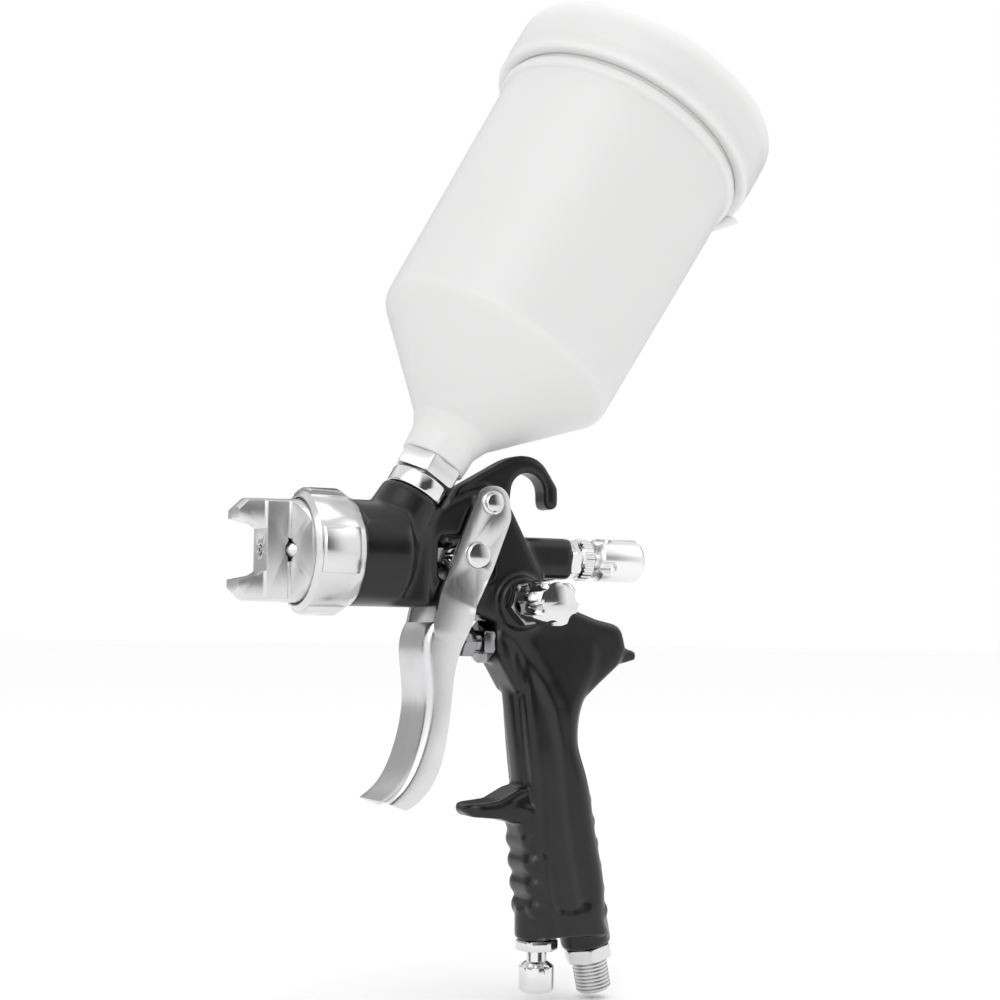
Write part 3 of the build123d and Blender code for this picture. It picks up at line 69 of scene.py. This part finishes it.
class Signal:
    """A shader value that Python operators can be used on."""

    def __init__(self, bench: "Bench", socket: bpy.types.NodeSocket) -> None:
        """Wrap an output socket of a node tree under construction."""
        self.bench = bench
        self.socket = socket

    def _math(self, operation: str, *values: "Signal | float") -> "Signal":
        """Add a Math node.

        Args:
            operation: the Math node's operation.
            values: its operands, signals or plain numbers.

        Returns:
            The node's result as a signal.
        """
        inputs = dict(enumerate(values))
        return self.bench.add("ShaderNodeMath", {"operation": operation}, inputs)["Value"]

    def __add__(self, other: "Signal | float") -> "Signal":
        """Sum of two values."""
        return self._math("ADD", self, other)

    __radd__ = __add__

    def __sub__(self, other: "Signal | float") -> "Signal":
        """Difference of two values."""
        return self._math("SUBTRACT", self, other)

    def __mul__(self, other: "Signal | float") -> "Signal":
        """Product of two values."""
        return self._math("MULTIPLY", self, other)

    __rmul__ = __mul__


class Outputs:
    """Outputs of one node, looked up by name."""

    def __init__(self, bench: "Bench", node: bpy.types.Node) -> None:
        """Keep the node and the bench it is on."""
        self.bench = bench
        self.node = node

    def __getitem__(self, name: str) -> Signal:
        """The output of that name as a signal."""
        return Signal(self.bench, self.node.outputs[name])


class Bench:
    """Builds the nodes of one material, or of the sky."""

    def __init__(self, holder: bpy.types.Material | bpy.types.World) -> None:
        """Start with no nodes.

        Args:
            holder: the material or sky that the nodes are for.
        """
        self.holder = holder
        self.holder.use_nodes = True
        self.tree = self.holder.node_tree
        self.tree.nodes.clear()

    def add(self, kind: str, settings: dict | None = None, inputs: dict | None = None) -> Outputs:
        """Add one node.

        Args:
            kind: the node's type name.
            settings: attributes to set first; "stops" holds a colour ramp's (position, grey) pairs.
            inputs: socket names or numbers, with signals to link or values to set.

        Returns:
            The node's outputs.
        """
        node = self.tree.nodes.new(kind)
        for key, value in (settings or {}).items():
            if key == "stops":
                self._ramp(node, value)
            else:
                setattr(node, key, value)
        for key, value in (inputs or {}).items():
            if isinstance(value, Signal):
                self.tree.links.new(value.socket, node.inputs[key])
            else:
                node.inputs[key].default_value = value
        return Outputs(self, node)

    @staticmethod
    def _ramp(node: bpy.types.Node, stops: list[tuple[float, float]]) -> None:
        """Set a colour ramp's stops.

        Args:
            node: the ramp's node.
            stops: (position, grey level) of each stop.
        """
        elements = node.color_ramp.elements
        while len(elements) > 1:
            elements.remove(elements[-1])
        for n, (position, grey) in enumerate(stops):
            stop = elements[0] if n == 0 else elements.new(position)
            stop.position = position
            stop.color = (grey, grey, grey, 1.0)

    def place(self, stretch: Triple) -> Signal:
        """Object coordinates, stretched along each axis by that much."""
        where = self.add("ShaderNodeTexCoord")["Object"]
        return self.add("ShaderNodeMapping", None, {"Vector": where, "Scale": stretch})["Vector"]

    def noise(self, scale: float, detail: float = 3.0, stretch: Triple = (1, 1, 1)) -> Signal:
        """Fractal noise over the piece, from 0 to 1."""
        inputs = {"Vector": self.place(stretch), "Scale": scale, "Detail": detail, "Roughness": 0.55}
        return self.add("ShaderNodeTexNoise", None, inputs)["Fac"]

    def ramp(self, value: Signal, stops: list[tuple[float, float]]) -> Signal:
        """Grey ramp of a value."""
        return self.add("ShaderNodeValToRGB", {"stops": stops}, {"Fac": value})["Color"]

    def blend(self, factor: Signal, low: Triple, high: Triple) -> Signal:
        """Mix two colours.

        Args:
            factor: 0 for the first colour, 1 for the second.
            low: the first colour.
            high: the second colour.

        Returns:
            The mixed colour.
        """
        inputs = {MIX_FACTOR: factor, MIX_FIRST: (*low, 1.0), MIX_SECOND: (*high, 1.0)}
        mixed = self.add("ShaderNodeMix", {"data_type": "RGBA"}, inputs)
        return Signal(self, mixed.node.outputs[MIX_RESULT])

    def bump(self, height: Signal, strength: float, distance: float) -> Signal:
        """Surface normal of a height pattern."""
        inputs = {"Height": height, "Strength": strength, "Distance": distance}
        return self.add("ShaderNodeBump", None, inputs)["Normal"]

    def finish(self, surface: dict) -> bpy.types.Material:
        """Add the surface shader and the output.

        Args:
            surface: the Principled shader's inputs.

        Returns:
            The finished material.
        """
        shader = self.add("ShaderNodeBsdfPrincipled", None, surface)
        self.add("ShaderNodeOutputMaterial", None, {"Surface": shader["BSDF"]})
        return self.holder


# ------------------------------------------------------------------ finishes
@dataclass(frozen=True)
class BlackCoat:
    """Satin black coating on a casting, with a faint orange peel."""

    name: str = "black_coat"
    colour: Triple = (0.0035, 0.0035, 0.0038)
    worn: Triple = (0.007, 0.007, 0.0075)
    roughness: float = 0.31

    def make(self) -> bpy.types.Material:
        """Build the material."""
        bench = Bench(bpy.data.materials.new(self.name))
        cloud = bench.noise(70.0, 4.0)
        wear = bench.ramp(cloud, [(0.35, 0.0), (0.7, 1.0)])
        peel = bench.noise(900.0, 2.0)
        return bench.finish(
            {
                "Base Color": bench.blend(wear, self.colour, self.worn),
                "Roughness": self.roughness - 0.04 + 0.09 * cloud,
                "Normal": bench.bump(peel, 0.10, 0.00006),
                "Specular IOR Level": 0.28,
                "Coat Weight": 0.30,
                "Coat Roughness": 0.13,
            }
        )


@dataclass(frozen=True)
class WorkedMetal:
    """Bare or plated metal with the marks of its machining along one direction."""

    name: str
    colour: Triple
    shade: Triple
    roughness: float
    marks: float = 0.12
    grain: Triple = (1.0, 1.0, 1.0)
    scale: float = 900.0

    def make(self) -> bpy.types.Material:
        """Build the material."""
        bench = Bench(bpy.data.materials.new(self.name))
        lines = bench.noise(self.scale, 3.0, self.grain)
        cloud = bench.noise(60.0, 3.0)
        tone = bench.ramp(cloud, [(0.3, 0.0), (0.75, 1.0)])
        return bench.finish(
            {
                "Base Color": bench.blend(tone, self.colour, self.shade),
                "Metallic": 1.0,
                "Roughness": self.roughness + 0.10 * (lines - 0.5) + 0.06 * (cloud - 0.5),
                "Normal": bench.bump(lines, self.marks, 0.00004),
            }
        )


@dataclass(frozen=True)
class WhiteNylon:
    """Translucent white nylon with a faint moulding haze."""

    name: str = "white_nylon"
    colour: Triple = (0.77, 0.77, 0.765)
    shade: Triple = (0.74, 0.74, 0.735)
    roughness: float = 0.42

    def make(self) -> bpy.types.Material:
        """Build the material."""
        bench = Bench(bpy.data.materials.new(self.name))
        cloud = bench.noise(22.0, 4.0)
        fine = bench.noise(700.0, 2.0)
        return bench.finish(
            {
                "Base Color": bench.blend(cloud, self.colour, self.shade),
                "Roughness": self.roughness + 0.08 * (cloud - 0.5),
                "Normal": bench.bump(fine, 0.05, 0.00005),
                "Subsurface Weight": 0.35,
                "Subsurface Radius": (0.012, 0.012, 0.012),
                "Subsurface Scale": 1.0,
            }
        )


@dataclass(frozen=True)
class SoftRubber:
    """Matt seal rubber or plastic."""

    name: str = "seal_rubber"
    colour: Triple = (0.03, 0.03, 0.03)
    shade: Triple = (0.05, 0.05, 0.05)
    roughness: float = 0.7

    def make(self) -> bpy.types.Material:
        """Build the material."""
        bench = Bench(bpy.data.materials.new(self.name))
        cloud = bench.noise(300.0, 3.0)
        return bench.finish(
            {
                "Base Color": bench.blend(cloud, self.colour, self.shade),
                "Roughness": self.roughness + 0.1 * (cloud - 0.5),
                "Normal": bench.bump(cloud, 0.1, 0.0001),
            }
        )


class Finish(Enum):
    """Finishes of the gun's pieces."""

    COAT = BlackCoat()
    NYLON = WhiteNylon()
    RUBBER = SoftRubber()
    STRAINER = SoftRubber("strainer_plastic", (0.80, 0.81, 0.80), (0.74, 0.75, 0.74), 0.5)
    RING = WorkedMetal(
        "turned_nickel", (0.70, 0.70, 0.70), (0.62, 0.62, 0.62), 0.20, 0.20, (6.0, 0.5, 0.5)
    )
    CAP = WorkedMetal("satin_nickel", (0.72, 0.72, 0.72), (0.64, 0.64, 0.64), 0.30, 0.15)
    TRIGGER = WorkedMetal(
        "polished_trigger", (0.70, 0.70, 0.71), (0.62, 0.62, 0.63), 0.24, 0.08, (1.0, 4.0, 0.3)
    )
    CHROME = WorkedMetal("bright_chrome", (0.78, 0.78, 0.78), (0.72, 0.72, 0.72), 0.10, 0.05)
    DARK = WorkedMetal("dark_chrome", (0.34, 0.34, 0.35), (0.26, 0.26, 0.27), 0.12, 0.05)
    SATIN = WorkedMetal(
        "satin_aluminium", (0.86, 0.86, 0.86), (0.80, 0.80, 0.80), 0.34, 0.20, (5.0, 0.6, 0.6)
    )
    STEEL = WorkedMetal(
        "ground_steel", (0.60, 0.60, 0.60), (0.52, 0.52, 0.52), 0.22, 0.15, (6.0, 0.6, 0.6)
    )


PIECE_FINISH = {
    "gun_body": Finish.COAT,
    "fluid_nozzle": Finish.CAP,
    "nozzle_seal": Finish.RUBBER,
    "baffle_ring": Finish.CAP,
    "air_cap": Finish.CAP,
    "retaining_ring": Finish.RING,
    "needle": Finish.STEEL,
    "needle_packing": Finish.RUBBER,
    "needle_packing_nut": Finish.STEEL,
    "needle_spring": Finish.STEEL,
    "spring_seat": Finish.STEEL,
    "guide_screw": Finish.CHROME,
    "lock_ring": Finish.CHROME,
    "fluid_knob": Finish.SATIN,
    "trigger": Finish.TRIGGER,
    "trigger_pin": Finish.CHROME,
    "pin_circlip": Finish.STEEL,
    "trigger_bar": Finish.CHROME,
    "valve_housing": Finish.DARK,
    "valve_packing_nut": Finish.DARK,
    "valve_packing": Finish.RUBBER,
    "valve_seat": Finish.RUBBER,
    "valve_stem": Finish.STEEL,
    "valve_spring": Finish.STEEL,
    "fan_valve_nut": Finish.DARK,
    "fan_knob": Finish.CHROME,
    "fan_spindle_seal": Finish.RUBBER,
    "air_valve_nut": Finish.CHROME,
    "air_knob": Finish.CHROME,
    "air_spindle_seal": Finish.RUBBER,
    "air_inlet": Finish.CAP,
    "cup_joint": Finish.CHROME,
    "cup_nut": Finish.CAP,
    "cup": Finish.NYLON,
    "paint_strainer": Finish.STRAINER,
    "lid": Finish.NYLON,
    "vent_cap": Finish.NYLON,
}


# ------------------------------------------------------------------ studio
@dataclass(frozen=True)
class Band:
    """Soft bright part of the sky that bare metal mirrors."""

    toward: Triple
    start: float
    full: float
    level: float

    def glow(self, bench: Bench, where: Outputs) -> Signal:
        """Find the band's brightness over the sky.

        Args:
            bench: the sky's bench.
            where: the parts of the direction looked in.

        Returns:
            The brightness.
        """
        along = where["X"] * self.toward[0] + where["Y"] * self.toward[1] + where["Z"] * self.toward[2]
        return self.level * bench.ramp(along, [(self.start, 0.0), (self.full, 1.0)])


@dataclass(frozen=True)
class SoftBox:
    """Rectangular lamp that faces the gun."""

    name: str
    place: Triple
    size: tuple[float, float]
    power: float
    aim: Triple = (-0.02, 0.0, 0.18)

    def hang(self) -> None:
        """Add the lamp to the scene."""
        data = bpy.data.lights.new(self.name, "AREA")
        data.shape = "RECTANGLE"
        data.size, data.size_y = self.size
        data.energy = self.power
        lamp = bpy.data.objects.new(self.name, data)
        turn = (Vector(self.aim) - Vector(self.place)).to_track_quat("-Z", "Y")
        lamp.matrix_world = Matrix.Translation(self.place) @ turn.to_matrix().to_4x4()
        bpy.context.scene.collection.objects.link(lamp)


@dataclass
class Studio:
    """Pale floor, soft lights and the camera."""

    bearing: float = 27.72  # degrees, from straight at the gun's left side
    elevation: float = -4.04
    roll: float = 0.70
    distance: float = 0.66894
    slide: tuple[float, float] = (0.01019, 0.02098)
    lens: float = 64.906
    film_width: float = 36.0
    aim: Vector = field(default_factory=lambda: Vector((-0.0537, 0.0, 0.1612)))
    floor_z: float = -0.004
    floor_radius: float = 14.0
    floor_glow: float = 0.03
    dimmest: float = 0.07  # the sky between its bands, as metal mirrors it
    bands: tuple[Band, ...] = (
        Band((0.0, 0.0, 1.0), 0.30, 0.62, 0.85),
        Band((-0.80, -0.55, 0.20), 0.66, 0.80, 1.1),
        Band((0.93, -0.30, 0.20), 0.70, 0.84, 1.0),
        Band((-0.46, 0.88, 0.0), 0.70, 0.92, 0.4),
    )
    boxes: tuple[SoftBox, ...] = (
        SoftBox("key_box", (-1.0, -1.1, 0.9), (0.5, 0.8), 3.0),
        SoftBox("top_box", (0.2, -0.2, 1.5), (0.8, 0.8), 3.0),
    )

    def axes(self) -> tuple[Vector, Vector, Vector]:
        """Find how the camera is turned.

        Returns:
            Its right, up and forward directions.
        """
        turn = math.radians(self.bearing)
        lift = math.radians(self.elevation)
        tip = math.radians(self.roll)
        ahead = Vector((math.sin(turn) * math.cos(lift), math.cos(turn) * math.cos(lift), -math.sin(lift)))
        level = Vector((math.cos(turn), -math.sin(turn), 0.0))
        upright = level.cross(ahead)
        right = level * math.cos(tip) + upright * math.sin(tip)
        up = upright * math.cos(tip) - level * math.sin(tip)
        return right, up, ahead

    def set_camera(self) -> None:
        """Place the camera and make it the scene's own."""
        right, up, ahead = self.axes()
        data = bpy.data.cameras.new("camera")
        data.sensor_width = self.film_width
        data.lens = self.lens
        data.clip_start = 0.01
        camera = bpy.data.objects.new("camera", data)
        spot = self.aim - ahead * self.distance + right * self.slide[0] + up * self.slide[1]
        turn = Matrix((right, up, -ahead)).transposed()
        camera.matrix_world = Matrix.Translation(spot) @ turn.to_4x4()
        bpy.context.scene.collection.objects.link(camera)
        bpy.context.scene.camera = camera

    def lay_floor(self) -> None:
        """A wide pale floor just under the gun."""
        bm = bmesh.new()
        bmesh.ops.create_circle(bm, cap_ends=True, segments=96, radius=self.floor_radius)
        mesh = bpy.data.meshes.new("floor")
        bm.to_mesh(mesh)
        bm.free()
        mesh.transform(Matrix.Translation((0.0, 0.0, self.floor_z)))
        floor = bpy.data.objects.new("floor", mesh)
        bpy.context.scene.collection.objects.link(floor)
        bench = Bench(bpy.data.materials.new("floor_card"))
        grain = bench.noise(8.0, 2.0)
        pale = bench.blend(grain, (0.97, 0.97, 0.97), (0.955, 0.955, 0.955))
        glow = {"Emission Color": (1.0, 1.0, 1.0, 1.0), "Emission Strength": self.floor_glow}
        floor.data.materials.append(bench.finish({"Base Color": pale, "Roughness": 0.8, **glow}))

    def paint_sky(self) -> None:
        """An even white sky, whose mirror image has the soft bands of a studio."""
        bench = Bench(bpy.data.worlds.new("sky"))
        looked_in = bench.add("ShaderNodeTexCoord")["Generated"]
        where = bench.add("ShaderNodeSeparateXYZ", None, {"Vector": looked_in})
        mirror = self.dimmest
        for band in self.bands:
            mirror = mirror + band.glow(bench, where)
        glossy = bench.add("ShaderNodeLightPath")["Is Glossy Ray"]
        strength = 1.0 + glossy * (mirror - 1.0)
        white = (1.0, 1.0, 1.0, 1.0)
        shade = bench.add("ShaderNodeBackground", None, {"Color": white, "Strength": strength})
        bench.add("ShaderNodeOutputWorld", None, {"Surface": shade["Background"]})
        bpy.context.scene.world = bench.holder

    def light(self) -> None:
        """Sky and soft boxes, shown with plain colours."""
        self.paint_sky()
        for box in self.boxes:
            box.hang()
        bpy.context.scene.view_settings.view_transform = "Standard"

    def build(self) -> None:
        """Set up everything that isn't the gun."""
        self.lay_floor()
        self.light()
        self.set_camera()


# ------------------------------------------------------------------ shaping
def drawn(x: float, y: float, z: float) -> Vector:
    """Turn a point of the gun's drawing into the model's frame.

    Args:
        x: millimetres along the spray axis.
        y: millimetres away from the user's left.
        z: millimetres above the spray axis.

    Returns:
        The point in metres.
    """
    return DRAWING_ORIGIN + Vector((x, y, z)) * MM


def rounded(points: list[Triple], steps: int = 6) -> list[tuple[float, float]]:
    """Round the corners of a profile.

    Args:
        points: (radius, distance along, corner radius) of each corner, in millimetres.
        steps: how many short lines make up a corner.

    Returns:
        The profile's points, without the corner radii.
    """
    out: list[tuple[float, float]] = []
    for n, (r, a, soft) in enumerate(points):
        here = Vector((r, a))
        before = Vector(points[n - 1][:2])
        after = Vector(points[(n + 1) % len(points)][:2])
        to_before = before - here
        to_after = after - here
        if soft <= 0.0:
            out.append((r, a))
            continue
        turn = to_before.angle(to_after)
        cut = min(soft / math.tan(turn / 2), 0.48 * to_before.length, 0.48 * to_after.length)
        start = here + to_before.normalized() * cut
        end = here + to_after.normalized() * cut
        for step in range(steps + 1):
            t = step / steps
            spot = start * (1 - t) ** 2 + here * 2 * t * (1 - t) + end * t**2
            out.append((spot.x, spot.y))
    return out


def settle(name: str, bm: bmesh.types.BMesh, finish: "Finish", angle: float = 38.0) -> bpy.types.Object:
    """Turn a finished shape into an object with its material.

    Args:
        name: the object's name.
        bm: its shape, in the model's frame; it is freed.
        finish: its finish.
        angle: edges sharper than this many degrees stay crisp.

    Returns:
        The object, linked to the scene.
    """
    bmesh.ops.recalc_face_normals(bm, faces=bm.faces)
    for face in bm.faces:
        face.smooth = True
    for edge in bm.edges:
        edge.smooth = len(edge.link_faces) == 2 and edge.calc_face_angle(0.0) < math.radians(angle)
    mesh = bpy.data.meshes.new(name)
    bm.to_mesh(mesh)
    bm.free()
    piece = bpy.data.objects.new(name, mesh)
    bpy.context.scene.collection.objects.link(piece)
    mesh.materials.append(MATERIALS.of(finish))
    return piece


class MaterialStore:
    """Makes each finish's material once."""

    def __init__(self) -> None:
        """Start with none made."""
        self.made: dict[Finish, bpy.types.Material] = {}

    def of(self, finish: Finish) -> bpy.types.Material:
        """Find a finish's material, making it the first time.

        Args:
            finish: the finish wanted.

        Returns:
            Its material.
        """
        if finish not in self.made:
            self.made[finish] = finish.value.make()
        return self.made[finish]


MATERIALS = MaterialStore()


def cad_shape(node_name: str) -> bmesh.types.BMesh:
    """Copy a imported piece's surface.

    Args:
        node_name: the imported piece.

    Returns:
        Its welded surface in the model's frame.
    """
    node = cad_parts[node_name]
    bm = bmesh.new()
    bm.from_mesh(node.data)
    bmesh.ops.transform(bm, matrix=node.matrix_world, verts=bm.verts)
    bmesh.ops.remove_doubles(bm, verts=bm.verts, dist=WELD)
    return bm


# ------------------------------------------------------------------ the casting
@dataclass
class Casting:
    """Coated body casting: soft corners everywhere, and the relief on the sides of its grip."""

    voxel: float = 0.00085
    soften: int = 5
    side_from: float = 5.5  # the relief fades in from this far off the middle plane, in millimetres
    side_over: float = 1.5
    facing_from: float = 0.25  # and only where the surface faces sideways
    facing_over: float = 0.5
    valley_depth: float = 0.9
    valley_width: float = 3.0
    groove_depth: float = 0.55
    groove_width: float = 0.9
    valley: Path = (
        (8.0, -26.0), (14.0, -30.5), (20.5, -39.5), (26.0, -47.0), (30.5, -56.0), (33.2, -68.0),
        (34.8, -81.0), (36.0, -92.0), (38.0, -104.0), (40.5, -117.0), (43.0, -127.0),
    )
    edge: Path = (
        (13.6, -36.0), (16.4, -50.0), (18.8, -66.0), (21.4, -82.0), (20.6, -87.6), (15.5, -89.8),
    )
    foot: Path = ((32.5, -129.6), (38.3, -130.4), (44.0, -127.6))
    front: Path = (
        (17.0, -101.5), (23.0, -105.6), (27.0, -110.0), (29.0, -118.0), (30.6, -126.5), (32.5, -129.6),
    )

    @staticmethod
    def away(x: np.ndarray, z: np.ndarray, path: Path) -> np.ndarray:
        """Measure how far points are from a path.

        Args:
            x: the points' X.
            z: their Z.
            path: the path's (X, Z) corners.

        Returns:
            The distances.
        """
        best = np.full(x.shape, 1e9)
        for (x0, z0), (x1, z1) in zip(path[:-1], path[1:]):
            dx, dz = x1 - x0, z1 - z0
            t = np.clip(((x - x0) * dx + (z - z0) * dz) / (dx * dx + dz * dz), 0.0, 1.0)
            best = np.minimum(best, np.hypot(x - x0 - t * dx, z - z0 - t * dz))
        return best

    def relief(self, x: np.ndarray, z: np.ndarray) -> np.ndarray:
        """Find how deep the sides are pressed in.

        Args:
            x: X of points on the sides.
            z: their Z.

        Returns:
            The depths in millimetres.
        """
        depth = self.valley_depth * np.exp(-((self.away(x, z, self.valley) / self.valley_width) ** 2))
        for path in (self.edge, self.foot, self.front):
            across = self.away(x, z, path) / self.groove_width
            depth = depth + self.groove_depth * np.exp(-(across**2))
        return depth

    def skinned(self) -> bpy.types.Mesh:
        """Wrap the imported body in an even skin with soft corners.

        Returns:
            The skin.
        """
        source = settle("casting_source", cad_shape("gun_body"), Finish.COAT)
        remesh = source.modifiers.new("skin", "REMESH")
        remesh.mode = "VOXEL"
        remesh.voxel_size = self.voxel
        smooth = source.modifiers.new("soften", "SMOOTH")
        smooth.factor = 0.5
        smooth.iterations = self.soften
        graph = bpy.context.evaluated_depsgraph_get()
        mesh = bpy.data.meshes.new_from_object(source.evaluated_get(graph))
        bpy.data.objects.remove(source)
        return mesh

    def press(self, mesh: bpy.types.Mesh) -> None:
        """Press the relief into the sides of the skin.

        Args:
            mesh: the skin, changed in place.
        """
        spots = np.empty(len(mesh.vertices) * 3)
        mesh.vertices.foreach_get("co", spots)
        spots = spots.reshape(-1, 3)
        facing = np.empty(len(mesh.vertices) * 3)
        mesh.vertices.foreach_get("normal", facing)
        facing = facing.reshape(-1, 3)
        drawing = (spots - np.array(DRAWING_ORIGIN)) / MM
        reach = np.clip((np.abs(drawing[:, 1]) - self.side_from) / self.side_over, 0.0, 1.0)
        flat = np.clip((np.abs(facing[:, 1]) - self.facing_from) / self.facing_over, 0.0, 1.0)
        depth = self.relief(drawing[:, 0], drawing[:, 2]) * reach * flat
        spots[:, 1] -= np.sign(drawing[:, 1]) * depth * MM
        mesh.vertices.foreach_set("co", spots.reshape(-1))
        mesh.update()

    def build(self) -> bpy.types.Object:
        """Shape and dress the casting.

        Returns:
            The casting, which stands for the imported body.
        """
        mesh = self.skinned()
        self.press(mesh)
        bm = bmesh.new()
        bm.from_mesh(mesh)
        bpy.data.meshes.remove(mesh)
        bmesh.ops.smooth_vert(
            bm, verts=bm.verts, factor=0.5, use_axis_x=True, use_axis_y=True, use_axis_z=True
        )
        piece = settle("casting", bm, Finish.COAT, 180.0)
        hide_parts("gun_body")
        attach(piece, "root")
        LOG.info("casting: %d faces", len(piece.data.polygons))
        return piece


# ------------------------------------------------------------------ worked metal
@dataclass
class Machined:
    """Metal piece whose sharp edges are broken, as after tumbling and plating."""

    node: str
    body: str
    break_edge: float = 0.00022
    sharper_than: float = 32.0  # degrees
    flat_within: float = 0.6  # degrees
    crisp_over: float = 30.0  # degrees
    segments: int = 2

    def build(self) -> bpy.types.Object:
        """Shape and dress the piece.

        Returns:
            The piece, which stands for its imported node.
        """
        bm = cad_shape(self.node)
        bmesh.ops.dissolve_limit(
            bm, angle_limit=math.radians(self.flat_within), verts=bm.verts, edges=bm.edges,
            use_dissolve_boundaries=False,
        )
        crease = math.radians(self.sharper_than)
        sharp = [e for e in bm.edges if len(e.link_faces) == 2 and e.calc_face_angle(0.0) > crease]
        bmesh.ops.bevel(
            bm, geom=sharp, offset=self.break_edge, offset_type="OFFSET", segments=self.segments,
            profile=0.5, affect="EDGES", clamp_overlap=True, material=-1,
        )
        bmesh.ops.triangulate(bm, faces=[f for f in bm.faces if len(f.verts) > 4])
        piece = settle(f"worked_{self.node}", bm, PIECE_FINISH[self.node], self.crisp_over)
        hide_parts(self.node)
        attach(piece, self.body)
        LOG.info("%s: %d faces", piece.name, len(piece.data.polygons))
        return piece


# ------------------------------------------------------------------ the cup
@dataclass
class SpunPlastic:
    """Plastic shell turned about the cup's axis, with every corner rounded."""

    name: str
    node: str
    body: str
    finish: Finish
    profile: tuple[Triple, ...]
    around: int = 160
    weld: float = 0.000001
    crisp_over: float = 50.0  # degrees

    def turned(self) -> bmesh.types.BMesh:
        """Spin the profile.

        Returns:
            The closed shell in the model's frame.
        """
        bm = bmesh.new()
        ring = [bm.verts.new((r * MM, 0.0, a * MM)) for r, a in rounded(list(self.profile))]
        edges = [bm.edges.new((ring[n], ring[(n + 1) % len(ring)])) for n in range(len(ring))]
        bmesh.ops.spin(
            bm, geom=ring + edges, cent=(0, 0, 0), axis=(0, 0, 1), angle=2 * math.pi, steps=self.around,
            use_merge=True,
        )
        bmesh.ops.remove_doubles(bm, verts=bm.verts, dist=self.weld)
        degenerate = [f for f in bm.faces if f.calc_area() < NO_AREA]
        bmesh.ops.delete(bm, geom=degenerate, context="FACES_ONLY")
        self.add_details(bm)
        lean = Matrix.Rotation(CUP_LEAN, 4, "Y")
        place = Matrix.Translation(drawn(CUP_FOOT_X, 0.0, 0.0)) @ lean
        bmesh.ops.transform(bm, matrix=place, verts=bm.verts)
        return bm

    def add_details(self, bm: bmesh.types.BMesh) -> None:
        """Add what isn't turned; a plain shell has nothing.

        Args:
            bm: the shell, along the cup's own axis.
        """

    def build(self) -> bpy.types.Object:
        """Shape and dress the shell.

        Returns:
            The shell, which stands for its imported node.
        """
        piece = settle(self.name, self.turned(), self.finish, self.crisp_over)
        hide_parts(self.node)
        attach(piece, self.body)
        LOG.info("%s: %d faces", piece.name, len(piece.data.polygons))
        return piece


@dataclass
class PushLid(SpunPlastic):
    """Lid with a pull tab at the low side of its skirt."""

    tab_at: tuple[float, float] = (54.2, 193.6)
    tab_size: Triple = (5.2, 23.0, 1.7)
    tab_edge: float = 0.7

    def add_details(self, bm: bmesh.types.BMesh) -> None:
        """Add the pull tab.

        Args:
            bm: the lid, along the cup's own axis.
        """
        place = Matrix.Translation((self.tab_at[0] * MM, 0.0, self.tab_at[1] * MM))
        size = Matrix.Diagonal((*(value * MM for value in self.tab_size), 1.0))
        made = bmesh.ops.create_cube(bm, size=1.0, matrix=place @ size)
        edges = list({edge for vert in made["verts"] for edge in vert.link_edges})
        bmesh.ops.bevel(
            bm, geom=edges, offset=self.tab_edge * MM, offset_type="OFFSET", segments=3, profile=0.5,
            affect="EDGES", clamp_overlap=True, material=-1,
        )


CUP_SHELL = (
    (9.5, 39.8, 0.0), (12.4, 39.8, 1.0), (12.8, 48.6, 7.0), (16.0, 54.8, 8.0), (46.6, 87.6, 6.0),
    (49.4, 187.0, 1.5), (50.7, 188.2, 0.8), (50.7, 190.8, 0.8), (49.6, 192.0, 0.8), (49.6, 209.0, 0.5),
    (47.6, 209.0, 0.5), (47.4, 187.0, 1.0), (44.8, 89.4, 6.0), (14.2, 56.4, 6.0), (8.4, 51.0, 3.0),
    (8.4, 46.9, 0.0), (9.5, 46.9, 0.0),
)
LID_SHELL = (
    (2.2, 215.1, 0.0), (33.4, 215.1, 1.5), (35.4, 216.5, 1.5), (51.2, 216.5, 5.0), (54.7, 214.8, 4.0),
    (54.7, 201.0, 1.0), (54.4, 198.6, 1.0), (54.4, 193.1, 1.8), (49.8, 193.1, 0.3), (49.8, 195.2, 0.5),
    (52.8, 196.4, 0.5), (52.8, 209.4, 0.5), (47.2, 209.4, 0.4), (47.2, 204.2, 0.5), (45.4, 204.2, 0.5),
    (45.4, 213.1, 1.0), (2.2, 213.1, 0.0),
)


def dress_packed_pieces() -> None:
    """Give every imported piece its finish."""
    for name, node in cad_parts.items():
        node.data.materials.clear()
        node.data.materials.append(MATERIALS.of(PIECE_FINISH[name]))
        LOG.info("dressed %s in %s", name, PIECE_FINISH[name].value.name)


WORKED = {
    "air_cap": "air_cap",
    "retaining_ring": "retaining_ring",
    "trigger": "trigger",
    "trigger_pin": "root",
    "trigger_bar": "trigger_bar",
    "guide_screw": "root",
    "fluid_knob": "fluid_knob",
    "valve_housing": "root",
    "valve_packing_nut": "root",
    "fan_valve_nut": "root",
    "fan_knob": "fan_knob",
    "air_valve_nut": "root",
    "air_knob": "air_knob",
    "cup_joint": "root",
    "cup_nut": "root",
}


def main() -> None:
    """Build the studio, dress the gun and rebuild the pieces that need finer shapes."""
    logging.basicConfig(level=logging.INFO, format="%(name)s: %(message)s")
    Studio().build()
    dress_packed_pieces()
    Casting().build()
    for node, body in WORKED.items():
        Machined(node, body).build()
    SpunPlastic("paint_cup", "cup", "root", Finish.NYLON, CUP_SHELL).build()
    PushLid("cup_lid", "lid", "lid", Finish.NYLON, LID_SHELL).build()


if __name__ == "__main__":
    main()
